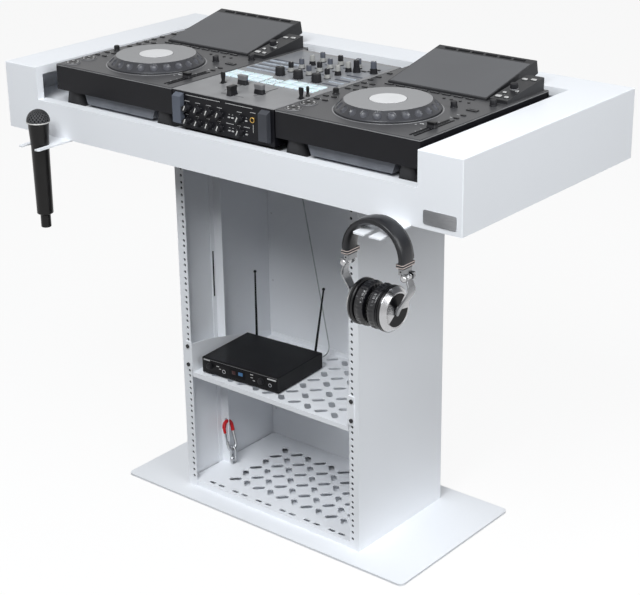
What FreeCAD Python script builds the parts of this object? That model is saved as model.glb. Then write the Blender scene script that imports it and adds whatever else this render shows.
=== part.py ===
import FreeCAD, Part
import os
from math import atan2, cos, degrees, pi, radians, sin, sqrt, tan

V = FreeCAD.Vector
UP = V(0, 0, 1)
RIGHT = V(1, 0, 0)
REAR = V(0, 1, 0)

# A standing equipment booth: a wide tray on a rack column on a flat base plate.
# Origin: centre of the base plate's underside. Millimetres.
# +X runs to the user's right, +Y away from the user, +Z up.

# Sheet metal and fits
sheet = 2.0
fit = 0.4
seat_gap = 0.3
running_fit = 0.06

# Base plate
base_side_reach = 150.0
base_front_reach = 50.0
base_thick = 5.0
base_corner = 12.0

# Column
column_width = 500.0
column_depth = 300.0
foot_flange = 40.0
rail_face = 25.0
rail_return = 24.0
rear_rail_inset = 112.0
rear_rail_leg = 12.0
rear_slot_length = 110.0
rear_slot_width = 6.0
rear_slot_level = 495.0
bottom_shelf_lip = 13.0

# Rack hole pattern
rack_unit_height = 44.45
rack_units = 18
rack_start_height = 24.5
rack_hole_edge = 6.35
rack_hole_step = 15.875
rack_holes_per_unit = 3
rack_hole_inset = 17.45
rack_hole_diameter = 7.0

# Perforated sheets
slot_length = 29.0
slot_width = 14.0
bottom_slot_pitch = 35.5
bottom_slot_side_margin = 70.0
bottom_slot_end_margin = 40.0
rack_slot_pitch = 37.0
rack_slot_side_margin = 40.0
rack_slot_end_margin = 10.0
edge_slot_length = 18.0
edge_slot_width = 8.0
edge_slot_gap = 27.5
edge_pair_pitch = 70.5
edge_pair_margin = 40.0
edge_slot_inset = 16.0

# Rack shelf
rack_shelf_unit = 6
rack_shelf_rear_gap = 30.0
rack_shelf_lip = 11.0
rack_shelf_ear = 67.0
rack_shelf_ear_rise = 6.0
rack_shelf_side = 70.0
rack_shelf_side_knee = (60.0, 63.0)
rack_shelf_rear_lip = 12.0
rack_shelf_play = 2.0

# Tray
row_left_gap = 35.0
row_right_gap = 15.0
row_rear_gap = 51.0
tray_level = 840.0
tray_height = 145.0
arm_width = 98.0
back_ledge = 91.0
inner_lip = 18.0
notch_rise = 74.0
rim_return = 25.0
side_return = 18.0
floor_rise = 65.0
edge_round = 1.6
cable_opening_length = 320.0
cable_opening_width = 60.0
cable_opening_y = 98.0
floor_slot_length = 80.0
floor_slot_width = 30.0
floor_slot_x = 300.0
floor_slot_inset = 46.0

# Badge plate, left bare
badge_width = 72.0
badge_height = 27.0
badge_thick = 1.5
badge_corner = 4.0
badge_inset = 12.0
badge_rise = 10.0

# Fork holders under the tray front
fork_width = 64.0
fork_thick = 3.0
fork_reach = 90.0
fork_tail = 100.0
fork_corner = 6.0
mic_side_inset = 160.0
mic_reach = 57.0
mic_notch = 40.0
phones_side_inset = 144.0
phones_reach = 56.0
phones_slot = 12.0
phones_slot_depth = 50.0

# Screws
bolt_radius = 4.0
bolt_head_radius = 7.0
bolt_head = 4.0
screw_radius = 2.5
screw_head_radius = 4.5
screw_head = 2.4
panel_screws_per_side = 5
rack_screw_radius = 3.0
rack_screw_head_radius = 4.6
rack_screw_length = 12.0
foot_bolt_y = 90.0
holder_screw_pitch = 40.0

# Snap hook on the left rear rail
hook_rod = 3.5
hook_bend = 13.0
hook_straight = 45.0
hook_level = 126.5
hook_tilt = 14.0
hook_hole_radius = 6.0
hook_edge = 7.0
gate_radius = 2.5
gate_pin_radius = 1.2
gate_foot = 8.0
link_rod = 2.5
link_bend = 7.0
link_straight = 17.0

# Microphone
mic_head_radius = 25.5
mic_neck_radius = 19.2
mic_handle_radius = 17.6
mic_tail_radius = 11.0
mic_collar_radius = 22.5
mic_ring_height = 3.0
mic_neck_height = 48.0
mic_edge = 1.0
mic_handle_length = 153.0
mic_tail_length = 31.0
mic_flare = 5.0
mic_flare_radius = 19.8
grille_inset = 0.5
grille_wall = 2.0

# Headphones
band_inner_radius = 54.0
band_thick = 16.0
band_leg = 10.0
band_edge = 1.5
band_width = 38.0
band_crown = 5.0
slider_height = 14.0
slider_width = 28.0
slider_thick = 12.0
slider_ear = 5.0
tongue_length = 25.0
tongue_width = 18.0
tongue_thick = 3.0
fold_pin_radius = 3.0
fold_eye_radius = 5.5
fold_drop = 20.0
fold_out = 6.0
arm_thick = 5.0
arm_bow = 8.0
arm_knee_drop = 22.0
arm_hip_rise = 8.0
cup_drop = 70.0
cup_radius = 44.0
cup_face_inset = 8.8
cup_back_edge = 2.0
cup_outer = 46.0
cup_inner = 26.0
cushion_face = 4.0
cushion_radius = 43.5
cushion_hole = 22.0
cushion_rim_inset = 3.0
cushion_bulge_depth = 10.0
cushion_crown_depth = 4.5

# Decks
deck_width = 340.0
deck_height = 88.0
deck_body = 55.0
deck_setback = 28.0
deck_gap = 3.0
deck_edge = 2.0
chassis_gap = 7.0
chassis_front = 52.0
chassis_side = 15.0
skirt_inset = 64.0
skirt_slant = 10.0
skirt_setback = 16.0
foot_radius_top = 20.0
foot_radius_base = 25.0
rear_foot_radius = 20.0
foot_inset = 36.0
jog_side_gap = 67.0
jog_front_gap = 28.0
jog_slope = 18.5
jog_lip = 1.5
jog_height = 20.0
jog_rim = 3.0
jog_clear = 0.8
display_radius = 36.0
display_depth = 6.5
spindle_radius = 12.0
screen_left_gap = 50.0
screen_right_gap = 54.0
screen_jog_gap = 56.0
screen_seat = 140.0
screen_length = 180.0
screen_lift = 40.0
screen_front = 4.0
screen_thick = 28.0
screen_back_slant = 5.6
console_width = 40.0
console_right_gap = 4.0
console_rear_gap = 12.0
console_length = 131.0
console_front = 8.0
console_rise = 27.0
browse_radius = 8.5
browse_height = 13.0
browse_along = 55.0
shaft_radius = 3.0
shaft_depth = 5.0
tempo_right_gap = 29.0
tempo_y = 77.0
tempo_travel = 50.0
fader_slot_width = 4.0
fader_slot_depth = 8.0
fader_stem = 3.0
fader_stem_depth = 6.0
fader_hover = 0.8
tempo_cap = (20.0, 12.0, 11.0)
cap_round = 1.5
button_radius = 17.0
button_x = 24.0
play_y = 26.0
cue_y = 72.0
button_rise = 2.5
button_sink = 2.0
button_round = 1.0
button_well = 4.0
small_button_height = 1.8
hot_cue_end_gap = 12.0
hot_cue_screen_gap = 6.0
hot_cues = 8
hot_cue_size = (20.0, 6.0)
side_button_size = (12.0, 7.0)
left_button_columns = (14.0, 35.0)
left_button_rows = (108.0, 136.0, 205.0, 233.0, 258.0)
edge_button_x = 10.0
edge_button_rows = (285.0, 312.0, 349.0)
right_button_rows = (154.0, 177.0)
right_knob_gaps = ((77.0, 75.0), (23.0, 22.0))
wide_key_gaps = (35.0, 74.0)
wide_key_size = (24.0, 12.0)
left_knob_spot = (20.0, 160.0)
deck_knob_height = 12.0

# Mixer
mixer_width = 268.0
mixer_rear_gap = 22.0
mixer_foot = 12.0
mixer_foot_radius = 12.0
handle_width = 22.0
handle_reach = 12.0
handle_inset = 9.0
handle_margin = 5.0
crossfader_y = 30.0
crossfader_travel = 22.0
crossfader_cap = (12.0, 23.0, 19.0)
channel_fader_x = 38.0
channel_fader_y = 87.0
channel_fader_travel = 30.0
channel_cap = (23.0, 12.0, 19.0)
channel_fader_offset = 18.0
pad_gap = 2.5
pad_columns = 4
pad_rows = 2
pad_height = 2.5
pad_y = 148.0
pad_left_gap = 7.0
pad_middle_gap = 41.0
pad_right_gap = 16.0
strip_rows = 4
strip_size = (40.0, 6.0)
strip_pitch = 25.0
strip_side_gap = 9.0
strip_columns = 2
strip_y = 216.0
knob_radius = 7.5
knob_taper = 1.5
knob_height = 21.0
big_knob_radius = 10.4
big_knob_height = 18.0
knob_columns = 3
knob_rows = 5
knob_left_gap = 107.0
knob_right_gap = 65.0
knob_y = 207.0
knob_rear_gap = 62.0
tall_knob_side_gap = (48.0, 13.0)
tall_knob_rear_gap = (91.0, 79.0)
tall_knob_extra = 5.0
tall_knob_radius = 8.5
tall_knob_taper = 2.0
front_knob_radius = 8.0
front_knob_taper = 2.0
front_knob_height = 12.0
front_knob_gap = 8.0
front_knob_columns = (0.0, 1.0, 2.0, 3.0, 4.8)
jack_column = 6.0
jack_gap = 23.0
front_knob_rise = (14.0, 41.0)
jack_rise = 46.0
jack_radius = 6.5
jack_length = 4.0
paddle_left_gap = 54.0
paddle_right_gap = 9.0
paddle_y = 92.0
paddle_width = 11.0
paddle_thick = 6.0
paddle_height = 22.0
paddle_pivot = 4.0
paddle_pocket = 17.0
paddle_pocket_depth = 9.0
side_lever_y = 112.0
side_lever_radius = 4.5
side_lever_tip = 3.0
side_lever_height = 20.0

# Receiver on the rack shelf
receiver_size = (212.0, 165.0, 37.0)
receiver_foot = 3.0
receiver_foot_radius = 6.0
receiver_foot_inset = 20.0
receiver_side_gap = 41.0
receiver_setback = 102.0
receiver_turn = 4.0
receiver_knob_x = (-84.8, 59.36)
receiver_knob_radius = 6.0
receiver_knob_length = 6.0
antenna_spread = 164.0
antenna_length = 171.0
antenna_radius = 3.0
antenna_taper = 1.0
antenna_tip_radius = 3.6
antenna_lean = 9.0
antenna_hub_radius = 5.0
antenna_hub_length = 9.0
antenna_pin_radius = 2.0
antenna_rise = 20.0
socket_radius = 4.0
socket_length = 8.0
socket_x = 62.0
socket_rise = 9.0

# Receiver lead, by its route from the tray's gland to the receiver's socket
# The bends are placed from the receiver's middle and the rack shelf's top.
lead_radius = 1.5
gland_radius = 5.0
gland_length = 8.0
gland_side = 45.6
lead_straight = 16.0
lead_drop_end = V(68.2, 151.0, 42.85)
lead_curl_back = V(73.5, 149.0, 16.85)
lead_curl_low = V(71.0, 128.0, 4.85)

# Sizes that follow from the equipment
jog_radius = deck_width / 2 - jog_side_gap
jog_top_radius = jog_radius - jog_slope
jog_centre = jog_front_gap + jog_radius
screen_y = jog_front_gap + 2 * jog_radius + screen_jog_gap
screen_width = deck_width - screen_left_gap - screen_right_gap
deck_depth = screen_y + screen_seat
console_x = deck_width - console_right_gap - console_width
console_y = deck_depth - console_rear_gap - console_length
tempo_x = deck_width - tempo_right_gap
hot_cue_pitch = (screen_width - hot_cue_end_gap) / hot_cues
mixer_depth = deck_depth - mixer_rear_gap
mixer_half = mixer_width / 2
pad_bank_width = (mixer_width - pad_left_gap - pad_middle_gap - pad_right_gap) / 2
pad_pitch = pad_bank_width / pad_columns
pad_size = pad_pitch - pad_gap
pad_bank_x = (-mixer_half + pad_left_gap + pad_bank_width / 2,
              mixer_half - pad_right_gap - pad_bank_width / 2)
strip_x = -mixer_half + strip_side_gap + strip_size[0] / 2
knob_x = -mixer_half + knob_left_gap
knob_pitch_x = (mixer_width - knob_left_gap - knob_right_gap) / (knob_columns - 1)
tall_knob_x = [mixer_half - gap for gap in tall_knob_side_gap]
front_knob_x = -mixer_half + handle_inset + handle_width + front_knob_gap
jack_x = mixer_half - handle_inset - handle_width - jack_gap
front_knob_pitch = (jack_x - front_knob_x) / jack_column
paddle_x = (-mixer_half + paddle_left_gap, mixer_half - paddle_right_gap)
knob_pitch_y = (mixer_depth - knob_y - knob_rear_gap) / (knob_rows - 1)
row_width = 2 * deck_width + mixer_width + 2 * deck_gap
tray_width = row_width + row_left_gap + row_right_gap + 2 * arm_width
tray_depth = deck_setback + deck_depth + row_rear_gap + back_ledge

# Sizes that follow from the column
base_width = column_width + 2 * base_side_reach
base_depth = column_depth + 2 * base_front_reach
rack_hole_spacing = column_width - 2 * rack_hole_inset
rack_shelf_depth = column_depth - rack_shelf_rear_gap

# Levels and edges that follow from the sizes
base_top = base_thick
foot_top = base_top + sheet
shelf_under = base_top + bottom_shelf_lip
shelf_top = shelf_under + sheet
column_half = column_width / 2
column_front = -column_depth / 2
column_back = column_depth / 2
tray_half = tray_width / 2
tray_front = -tray_depth / 2
tray_back = tray_depth / 2
tray_top = tray_level + tray_height
arm_inner = tray_half - arm_width
notch_level = tray_level + notch_rise
floor_top = tray_level + floor_rise
deck_front = tray_front + deck_setback
deck_top = floor_top + deck_height
deck_left_x = -arm_inner + row_left_gap
deck_right_x = arm_inner - row_right_gap - deck_width
mixer_x = deck_left_x + row_width / 2
rack_shelf_first = rack_start_height + rack_unit_height * rack_shelf_unit + rack_hole_edge + rack_hole_step
rack_shelf_screw_levels = [rack_shelf_first, rack_shelf_first + rack_unit_height]
rack_shelf_middle = sum(rack_shelf_screw_levels) / 2
rack_shelf_level = rack_shelf_middle - rack_shelf_ear / 2 - rack_shelf_ear_rise - sheet
fork_bottom = tray_level - fork_thick
mic_x = -tray_half + mic_side_inset
mic_y = tray_front - mic_reach
phones_x = tray_half - phones_side_inset
phones_y = tray_front - phones_reach
band_level = tray_level + seat_gap - sqrt(band_inner_radius ** 2 - (fork_width / 2) ** 2)
band_middle_radius = band_inner_radius + band_thick / 2
band_end = band_level - band_leg
fold_level = band_end - fold_drop
cup_level = fold_level - cup_drop
rear_rail_front = column_front + rear_rail_inset
hook_x = -(column_half - sheet - rail_face + hook_edge)
jog_floor = deck_top + jog_clear
receiver_x = -column_half + receiver_side_gap + receiver_size[0] / 2
receiver_y = column_front + receiver_setback
lead_top = V(receiver_x - gland_side, cable_opening_y, 0)


# Basic solids

def block(x0, x1, y0, y1, z0, z1):
    return Part.makeBox(x1 - x0, y1 - y0, z1 - z0, V(x0, y0, z0))


def centred_block(size, x, y, z0):
    return block(x - size[0] / 2, x + size[0] / 2, y - size[1] / 2, y + size[1] / 2, z0, z0 + size[2])


def rod(radius, length, start, along=UP):
    return Part.makeCylinder(radius, length, start, along)


def extruded(points, along):
    return Part.Face(Part.makePolygon(list(points) + [points[0]])).extrude(along)


def across_x(yz_points, x0, x1):
    return extruded([V(x0, y, z) for y, z in yz_points], V(x1 - x0, 0, 0))


def across_y(xz_points, y0, y1):
    return extruded([V(x, y0, z) for x, z in xz_points], V(0, y1 - y0, 0))


def turned(profile, centre):
    # A solid of revolution about the vertical through centre, from (radius, level) corners.
    points = [V(centre.x + r, centre.y, z) for r, z in profile]
    face = Part.Face(Part.makePolygon(points + [points[0]]))
    return face.revolve(V(centre.x, centre.y, 0), UP, 360)


def slot(x, y, length, width, angle, z0, z1):
    # A round-ended slot through z0 to z1, its long side turned by angle from +X.
    half = (length - width) / 2
    bar = block(-half, half, -width / 2, width / 2, z0, z1)
    ends = [rod(width / 2, z1 - z0, V(side * half, 0, z0)) for side in (-1, 1)]
    whole = bar.fuse(ends)
    whole.rotate(V(0, 0, 0), UP, angle)
    whole.translate(V(x, y, 0))
    return whole


def mirrored(shape, x=0.0):
    return shape.mirror(V(x, 0, 0), RIGHT)


def rounded(shape, radius, wanted):
    edges = [edge for edge in shape.Edges if wanted(edge)]
    return shape.makeFillet(radius, edges)


def is_vertical(edge):
    first, last = edge.Vertexes[0].Point, edge.Vertexes[-1].Point
    return abs(first.x - last.x) < 1e-6 and abs(first.y - last.y) < 1e-6


def screw(start, along, length, radius, head_radius, head):
    # The head sits on the surface at start, and the shank runs on from there along the given direction.
    shank = rod(radius, length, start, along)
    cap = rod(head_radius, head, start - along * head, along)
    return cap.fuse(shank).removeSplitter()


# Where the fasteners sit

def foot_bolt_places():
    x = column_half - foot_flange / 2
    return [(sx * x, sy * foot_bolt_y) for sx in (-1, 1) for sy in (-1, 1)]


def panel_screw_levels():
    step = (tray_level - base_top) / panel_screws_per_side
    return [base_top + step * (k + 0.5) for k in range(panel_screws_per_side)]


def panel_screw_x():
    return column_half - sheet - (rail_face - sheet) / 2


def holder_screw_places(x):
    y = tray_front + fork_tail / 2
    return [(x + side * holder_screw_pitch / 2, y) for side in (-1, 1)]


def rack_hole_levels():
    starts = [rack_start_height + rack_unit_height * unit + rack_hole_edge for unit in range(rack_units)]
    return [start + rack_hole_step * hole for start in starts for hole in range(rack_holes_per_unit)]


# Base and column

def base_plate():
    plate = block(-base_width / 2, base_width / 2, -base_depth / 2, base_depth / 2, 0, base_top)
    plate = rounded(plate, base_corner, is_vertical)
    return plate.cut([rod(bolt_radius + fit, base_top, V(x, y, 0)) for x, y in foot_bolt_places()])


def column_side():
    # The right side: a web with a rear flange, a foot flange and a top flange, all turned inwards.
    inside = column_half - sheet
    web = block(inside, column_half, column_front + sheet, column_back, base_top, tray_level)
    rear = block(column_half - rail_face, inside, column_back - sheet, column_back, base_top, tray_level)
    flange_x = (column_half - foot_flange, inside)
    flange_y = (column_front + rail_return + sheet, column_back - 2 * sheet)
    foot = block(*flange_x, *flange_y, base_top, foot_top)
    top = block(*flange_x, *flange_y, tray_level - sheet, tray_level)
    side = web.fuse([rear, foot, top]).removeSplitter()
    bolts = [rod(bolt_radius + fit, tray_level, V(x, y, 0)) for x, y in foot_bolt_places() if x > 0]
    screws = [rod(screw_radius + fit, sheet, V(panel_screw_x(), column_back - sheet, z), REAR)
              for z in panel_screw_levels()]
    return side.cut(bolts + screws)


def column_back_panel():
    half = column_half - sheet - fit
    panel = block(-half, half, column_back - 2 * sheet, column_back - sheet, base_top, tray_level)
    holes = [rod(screw_radius + fit, sheet, V(side * panel_screw_x(), column_back - 2 * sheet, z), REAR)
             for side in (-1, 1) for z in panel_screw_levels()]
    return panel.cut(holes)


def rack_rail():
    # The right front rail: a drilled face and a short leg inside the column side.
    inside = column_half - sheet
    behind = column_front + sheet
    face = block(column_half - rail_face, column_half, column_front, behind, base_top, tray_level)
    leg = block(inside - sheet, inside, behind, column_front + rail_return, base_top, tray_level)
    rail = face.fuse(leg).removeSplitter()
    x = rack_hole_spacing / 2
    radius = rack_hole_diameter / 2
    return rail.cut([rod(radius, sheet, V(x, column_front, z), REAR) for z in rack_hole_levels()])


def rear_rail():
    # The right rear rail: a plain face and a slotted leg along the column side.
    inside = column_half - sheet
    top = tray_level - sheet
    face = block(inside - rail_face, inside, rear_rail_front, rear_rail_front + sheet, shelf_top, top)
    leg_y = (rear_rail_front - rear_rail_leg, rear_rail_front)
    leg = block(inside - sheet, inside, *leg_y, shelf_top, top)
    slot_y = rear_rail_front - rear_rail_leg / 2
    cut = block(inside - sheet, inside, slot_y - rear_slot_width / 2, slot_y + rear_slot_width / 2,
                rear_slot_level - rear_slot_length / 2, rear_slot_level + rear_slot_length / 2)
    return face.fuse(leg).removeSplitter().cut(cut)


def rear_rails():
    left = mirrored(rear_rail())
    hole_level = hook_level + hook_hole_radius - hook_rod - seat_gap
    left = left.cut(rod(hook_hole_radius, sheet, V(hook_x, rear_rail_front, hole_level), REAR))
    return Part.makeCompound([left, rear_rail()])


def diagonal_slots(pitch, width, depth, middle_y, z0, z1):
    # A chequered field of round-ended slots at 45 degrees either way, as many as the field holds.
    reach = (slot_length - slot_width) * cos(radians(45)) + slot_width
    columns = 1 + int((width - reach) / pitch)
    rows = 1 + int((depth - reach) / pitch)
    first_x = -pitch * (columns - 1) / 2
    first_y = middle_y - pitch * (rows - 1) / 2
    cells = [(column, row) for column in range(columns) for row in range(rows)]
    return [slot(first_x + pitch * column, first_y + pitch * row, slot_length, slot_width,
                 -45 if (column + row) % 2 else 45, z0, z1) for column, row in cells]


def edge_slots(width, y, z0, z1):
    edge_pairs = 1 + int((width - edge_slot_gap - edge_slot_length) / edge_pair_pitch)
    first = -edge_pair_pitch * (edge_pairs - 1) / 2
    centres = [first + edge_pair_pitch * pair + side * edge_slot_gap / 2
               for pair in range(edge_pairs) for side in (-1, 1)]
    return [slot(x, y, edge_slot_length, edge_slot_width, 0, z0, z1) for x in centres]


def column_bottom_shelf():
    half = column_half - 2 * sheet - fit
    front = column_front + sheet + fit
    back = column_back - 2 * sheet - fit
    plate = block(-half, half, front, back, shelf_under, shelf_top)
    front_half = column_half - rail_face
    front_lip = block(-front_half, front_half, front, front + sheet, base_top, shelf_under)
    rear_half = column_half - foot_flange - fit
    rear_lip = block(-rear_half, rear_half, back - sheet, back, base_top, shelf_under)
    shelf = plate.fuse([front_lip, rear_lip]).removeSplitter()
    field = (2 * (half - bottom_slot_side_margin), column_depth - 2 * bottom_slot_end_margin)
    cuts = diagonal_slots(bottom_slot_pitch, *field, 0, shelf_under, shelf_top)
    cuts += edge_slots(2 * (half - edge_pair_margin), column_front + edge_slot_inset, shelf_under, shelf_top)
    return shelf.cut(cuts)


def rack_shelf():
    # A folded shelf: perforated deck, front and rear lips, tapered sides and two drilled ears.
    half = column_half - rail_face - rack_shelf_play
    back = column_front + rack_shelf_depth
    bottom = rack_shelf_level
    top = bottom + sheet
    deck = block(-half, half, column_front, back, bottom, top)
    front_lip = block(-half, half, column_front, column_front + sheet, top - rack_shelf_lip, bottom)
    rear_lip = block(-half, half, back - sheet, back, top, top + rack_shelf_rear_lip)
    knee_back, knee_rise = rack_shelf_side_knee
    side_shape = [(column_front, top), (back, top), (back, top + rack_shelf_rear_lip),
                  (column_front + knee_back, top + knee_rise), (column_front, top + rack_shelf_side)]
    sides = [across_x(side_shape, -half, -half + sheet), across_x(side_shape, half - sheet, half)]
    ear_outer = rack_hole_spacing / 2 + rack_screw_head_radius + rack_shelf_play
    ear_low = top + rack_shelf_ear_rise
    ears = [block(x0, x1, column_front - sheet, column_front, ear_low, ear_low + rack_shelf_ear)
            for x0, x1 in ((-ear_outer, -half + sheet), (half - sheet, ear_outer))]
    shelf = deck.fuse([front_lip, rear_lip] + sides + ears).removeSplitter()
    field = (2 * (half - rack_slot_side_margin), rack_shelf_depth - 2 * rack_slot_end_margin)
    cuts = diagonal_slots(rack_slot_pitch, *field, (column_front + back) / 2, bottom, top)
    hole_x = rack_hole_spacing / 2
    cuts += [rod(rack_hole_diameter / 2, sheet, V(side * hole_x, column_front - sheet, z), REAR)
             for side in (-1, 1) for z in rack_shelf_screw_levels]
    return shelf.cut(cuts)


# Tray

def tray_bottom():
    plate = block(-tray_half + sheet, tray_half - sheet, tray_front + sheet, tray_back - sheet,
                  tray_level, tray_level + sheet)
    opening = (cable_opening_length, cable_opening_width)
    cuts = [slot(0, cable_opening_y, *opening, 0, tray_level, tray_level + sheet)]
    cuts += [rod(bolt_radius + fit, sheet, V(x, y, tray_level)) for x, y in foot_bolt_places()]
    cuts += [rod(screw_radius + fit, sheet, V(x, y, tray_level))
             for holder in (mic_x, phones_x) for x, y in holder_screw_places(holder)]
    return plate.cut(cuts)


def tray_front_panel():
    # The front sheet with its wide notch, whose edges are turned back into the tray.
    panel = block(-tray_half, tray_half, tray_front, tray_front + sheet, tray_level, tray_top)
    notch = block(-arm_inner, arm_inner, tray_front, tray_front + sheet, notch_level, tray_top)
    rim = block(-arm_inner - sheet, arm_inner + sheet, tray_front + sheet, tray_front + rim_return,
                notch_level - sheet, notch_level)
    return_y = (tray_front + sheet, tray_front + side_return)
    returns = [block(x, x + sheet, *return_y, notch_level, tray_top - sheet)
               for x in (-arm_inner - sheet, arm_inner)]
    whole = panel.cut(notch).fuse([rim] + returns).removeSplitter()

    def on_front_outline(edge):
        centre = edge.BoundBox.Center
        on_face = abs(centre.y - tray_front) < 1e-6
        at_end = abs(abs(centre.x) - tray_half) < 1e-6
        at_top = abs(centre.z - tray_top) < 1e-6
        return on_face and (at_end or at_top)
    return rounded(whole, edge_round, on_front_outline)


def tray_arm():
    # The right arm: outer wall, top and a short inner lip, open to the tray below the lip.
    wall = block(tray_half - sheet, tray_half, tray_front + sheet, tray_back - sheet, tray_level, tray_top)
    top = block(arm_inner, tray_half - sheet, tray_front + sheet, tray_back - sheet,
                tray_top - sheet, tray_top)
    lip = block(arm_inner, arm_inner + sheet, tray_front + side_return, tray_back - back_ledge,
                tray_top - inner_lip, tray_top - sheet)
    arm = wall.fuse([top, lip]).removeSplitter()

    def on_outer_top(edge):
        box = edge.BoundBox
        return box.XMin > tray_half - 1e-6 and box.ZMin > tray_top - 1e-6
    return rounded(arm, edge_round, on_outer_top)


def tray_back_wall():
    wall = block(-tray_half, tray_half, tray_back - sheet, tray_back, tray_level, tray_top)
    ledge = block(-arm_inner, arm_inner, tray_back - back_ledge, tray_back - sheet,
                  tray_top - sheet, tray_top)
    lip = block(-arm_inner, arm_inner, tray_back - back_ledge, tray_back - back_ledge + sheet,
                tray_top - inner_lip, tray_top - sheet)
    whole = wall.fuse([ledge, lip]).removeSplitter()

    def on_back_outline(edge):
        box = edge.BoundBox
        on_face = box.YMin > tray_back - 1e-6
        at_end = abs(abs(box.Center.x) - tray_half) < 1e-6
        return on_face and (at_end or box.ZMin > tray_top - 1e-6)
    return rounded(whole, edge_round, on_back_outline)


def tray_floor():
    # The equipment floor: a pan whose edges are folded down onto the tray bottom.
    x = tray_half - sheet - fit
    y0, y1 = tray_front + sheet + fit, tray_back - sheet - fit
    under = tray_level + sheet
    outer = block(-x, x, y0, y1, under, floor_top)
    hollow = block(-x + sheet, x - sheet, y0 + sheet, y1 - sheet, under, floor_top - sheet)
    gland = rod(gland_radius, gland_length, V(lead_top.x, lead_top.y, floor_top - sheet - gland_length))
    slot_y = tray_back - floor_slot_inset
    slot_size = (floor_slot_length, floor_slot_width)
    cuts = [slot(side * floor_slot_x, slot_y, *slot_size, 0, floor_top - sheet, floor_top)
            for side in (-1, 1)]
    return outer.cut([hollow] + cuts).fuse(gland).removeSplitter()


def badge_plate():
    x1 = tray_half - badge_inset
    z0 = tray_level + badge_rise
    plate = block(x1 - badge_width, x1, tray_front - badge_thick, tray_front, z0, z0 + badge_height)

    def is_across(edge):
        box = edge.BoundBox
        return box.YLength > badge_thick / 2
    return rounded(plate, badge_corner, is_across)


def fork_plate(x, cut):
    plate = block(x - fork_width / 2, x + fork_width / 2, tray_front - fork_reach, tray_front + fork_tail,
                  fork_bottom, tray_level)

    def at_tip(edge):
        return is_vertical(edge) and edge.BoundBox.YMax < tray_front
    plate = rounded(plate, fork_corner, at_tip)
    holes = [rod(screw_radius + fit, fork_thick, V(hx, hy, fork_bottom)) for hx, hy in holder_screw_places(x)]
    return plate.cut([cut] + holes)


def mic_holder():
    mouth = block(mic_x - mic_notch / 2, mic_x + mic_notch / 2, tray_front - fork_reach, mic_y,
                  fork_bottom, tray_level)
    return fork_plate(mic_x, mouth.fuse(rod(mic_notch / 2, fork_thick, V(mic_x, mic_y, fork_bottom))))


def headphone_hook():
    mouth_end = tray_front - fork_reach + phones_slot_depth
    mouth = block(phones_x - phones_slot / 2, phones_x + phones_slot / 2, tray_front - fork_reach, mouth_end,
                  fork_bottom, tray_level)
    inner_end = rod(phones_slot / 2, fork_thick, V(phones_x, mouth_end, fork_bottom))
    return fork_plate(phones_x, mouth.fuse(inner_end))


def booth_screws():
    foot = [screw(V(x, y, foot_top), -UP, foot_top - sheet, bolt_radius, bolt_head_radius, bolt_head)
            for x, y in foot_bolt_places()]
    top = [screw(V(x, y, tray_level + sheet), -UP, 3 * sheet, bolt_radius, bolt_head_radius, bolt_head)
           for x, y in foot_bolt_places()]
    panel = [screw(V(side * panel_screw_x(), column_back, z), -REAR, 2 * sheet, screw_radius,
                   screw_head_radius, screw_head) for side in (-1, 1) for z in panel_screw_levels()]
    shelf = [screw(V(side * rack_hole_spacing / 2, column_front - sheet, z), REAR, rack_screw_length,
                   rack_screw_radius, rack_screw_head_radius, screw_head)
             for side in (-1, 1) for z in rack_shelf_screw_levels]
    holder = [screw(V(x, y, fork_bottom), UP, fork_thick + sheet, screw_radius, screw_head_radius, screw_head)
              for place in (mic_x, phones_x) for x, y in holder_screw_places(place)]
    return Part.makeCompound(foot + top + panel + shelf + holder)


# Snap hook hung through the left rear rail

def half_ring(bend, radius, centre, axis, upper):
    ring = Part.makeTorus(bend, radius, centre, axis)
    reach = bend + 2 * radius
    z0 = centre.z if upper else centre.z - reach
    kept = block(centre.x - reach, centre.x + reach, centre.y - reach, centre.y + reach, z0, z0 + reach)
    return ring.common(kept)


def long_ring(bend, straight, radius, low, axis):
    # A stretched ring whose lowest bend centre is low, in the plane square to axis.
    high = low + UP * straight
    across = axis.cross(UP)
    legs = [rod(radius, straight, low + across * (side * bend)) for side in (-1, 1)]
    bends = [half_ring(bend, radius, low, axis, False), half_ring(bend, radius, high, axis, True)]
    return bends[0].fuse(legs + [bends[1]])


def hook_top():
    return V(hook_x, rear_rail_front + sheet / 2, hook_level - hook_bend)


def hung_askew(shape):
    # The hook leans off the rail about its hanging point, so that its lower bend passes the rail's edge.
    shape.rotate(V(hook_x, rear_rail_front + sheet / 2, hook_level), REAR, -hook_tilt)
    return shape


def hook_foot():
    # The middle of the hook's lower bend once it leans.
    length = hook_straight + 2 * hook_bend
    angle = radians(hook_tilt)
    return V(hook_x + length * sin(angle), rear_rail_front + sheet / 2, hook_level - length * cos(angle))


def gate_span():
    # The gate's pivot level and tip level on the front leg.
    top = hook_top()
    return top.z - hook_straight + gate_foot, top.z


def snap_hook():
    # The front leg stops short for the gate and is slotted at its foot, where a small pin carries the gate.
    top = hook_top()
    ring = long_ring(hook_bend, hook_straight, hook_rod, top - UP * hook_straight, RIGHT)
    pivot, tip = gate_span()
    y = top.y - hook_bend
    reach = 2 * hook_rod
    window = block(top.x - reach, top.x + reach, y - reach, y + reach, pivot + hook_rod, tip)
    slot_half = gate_radius / 2 + fit
    cleft = block(top.x - slot_half, top.x + slot_half, y - reach, y + reach, pivot - gate_radius - fit,
                  pivot + hook_rod)
    pin = rod(gate_pin_radius, 2 * slot_half + 2, V(top.x - slot_half - 1, y, pivot), RIGHT)
    return hung_askew(ring.cut(window).cut(cleft).fuse(pin).removeSplitter())


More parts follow.
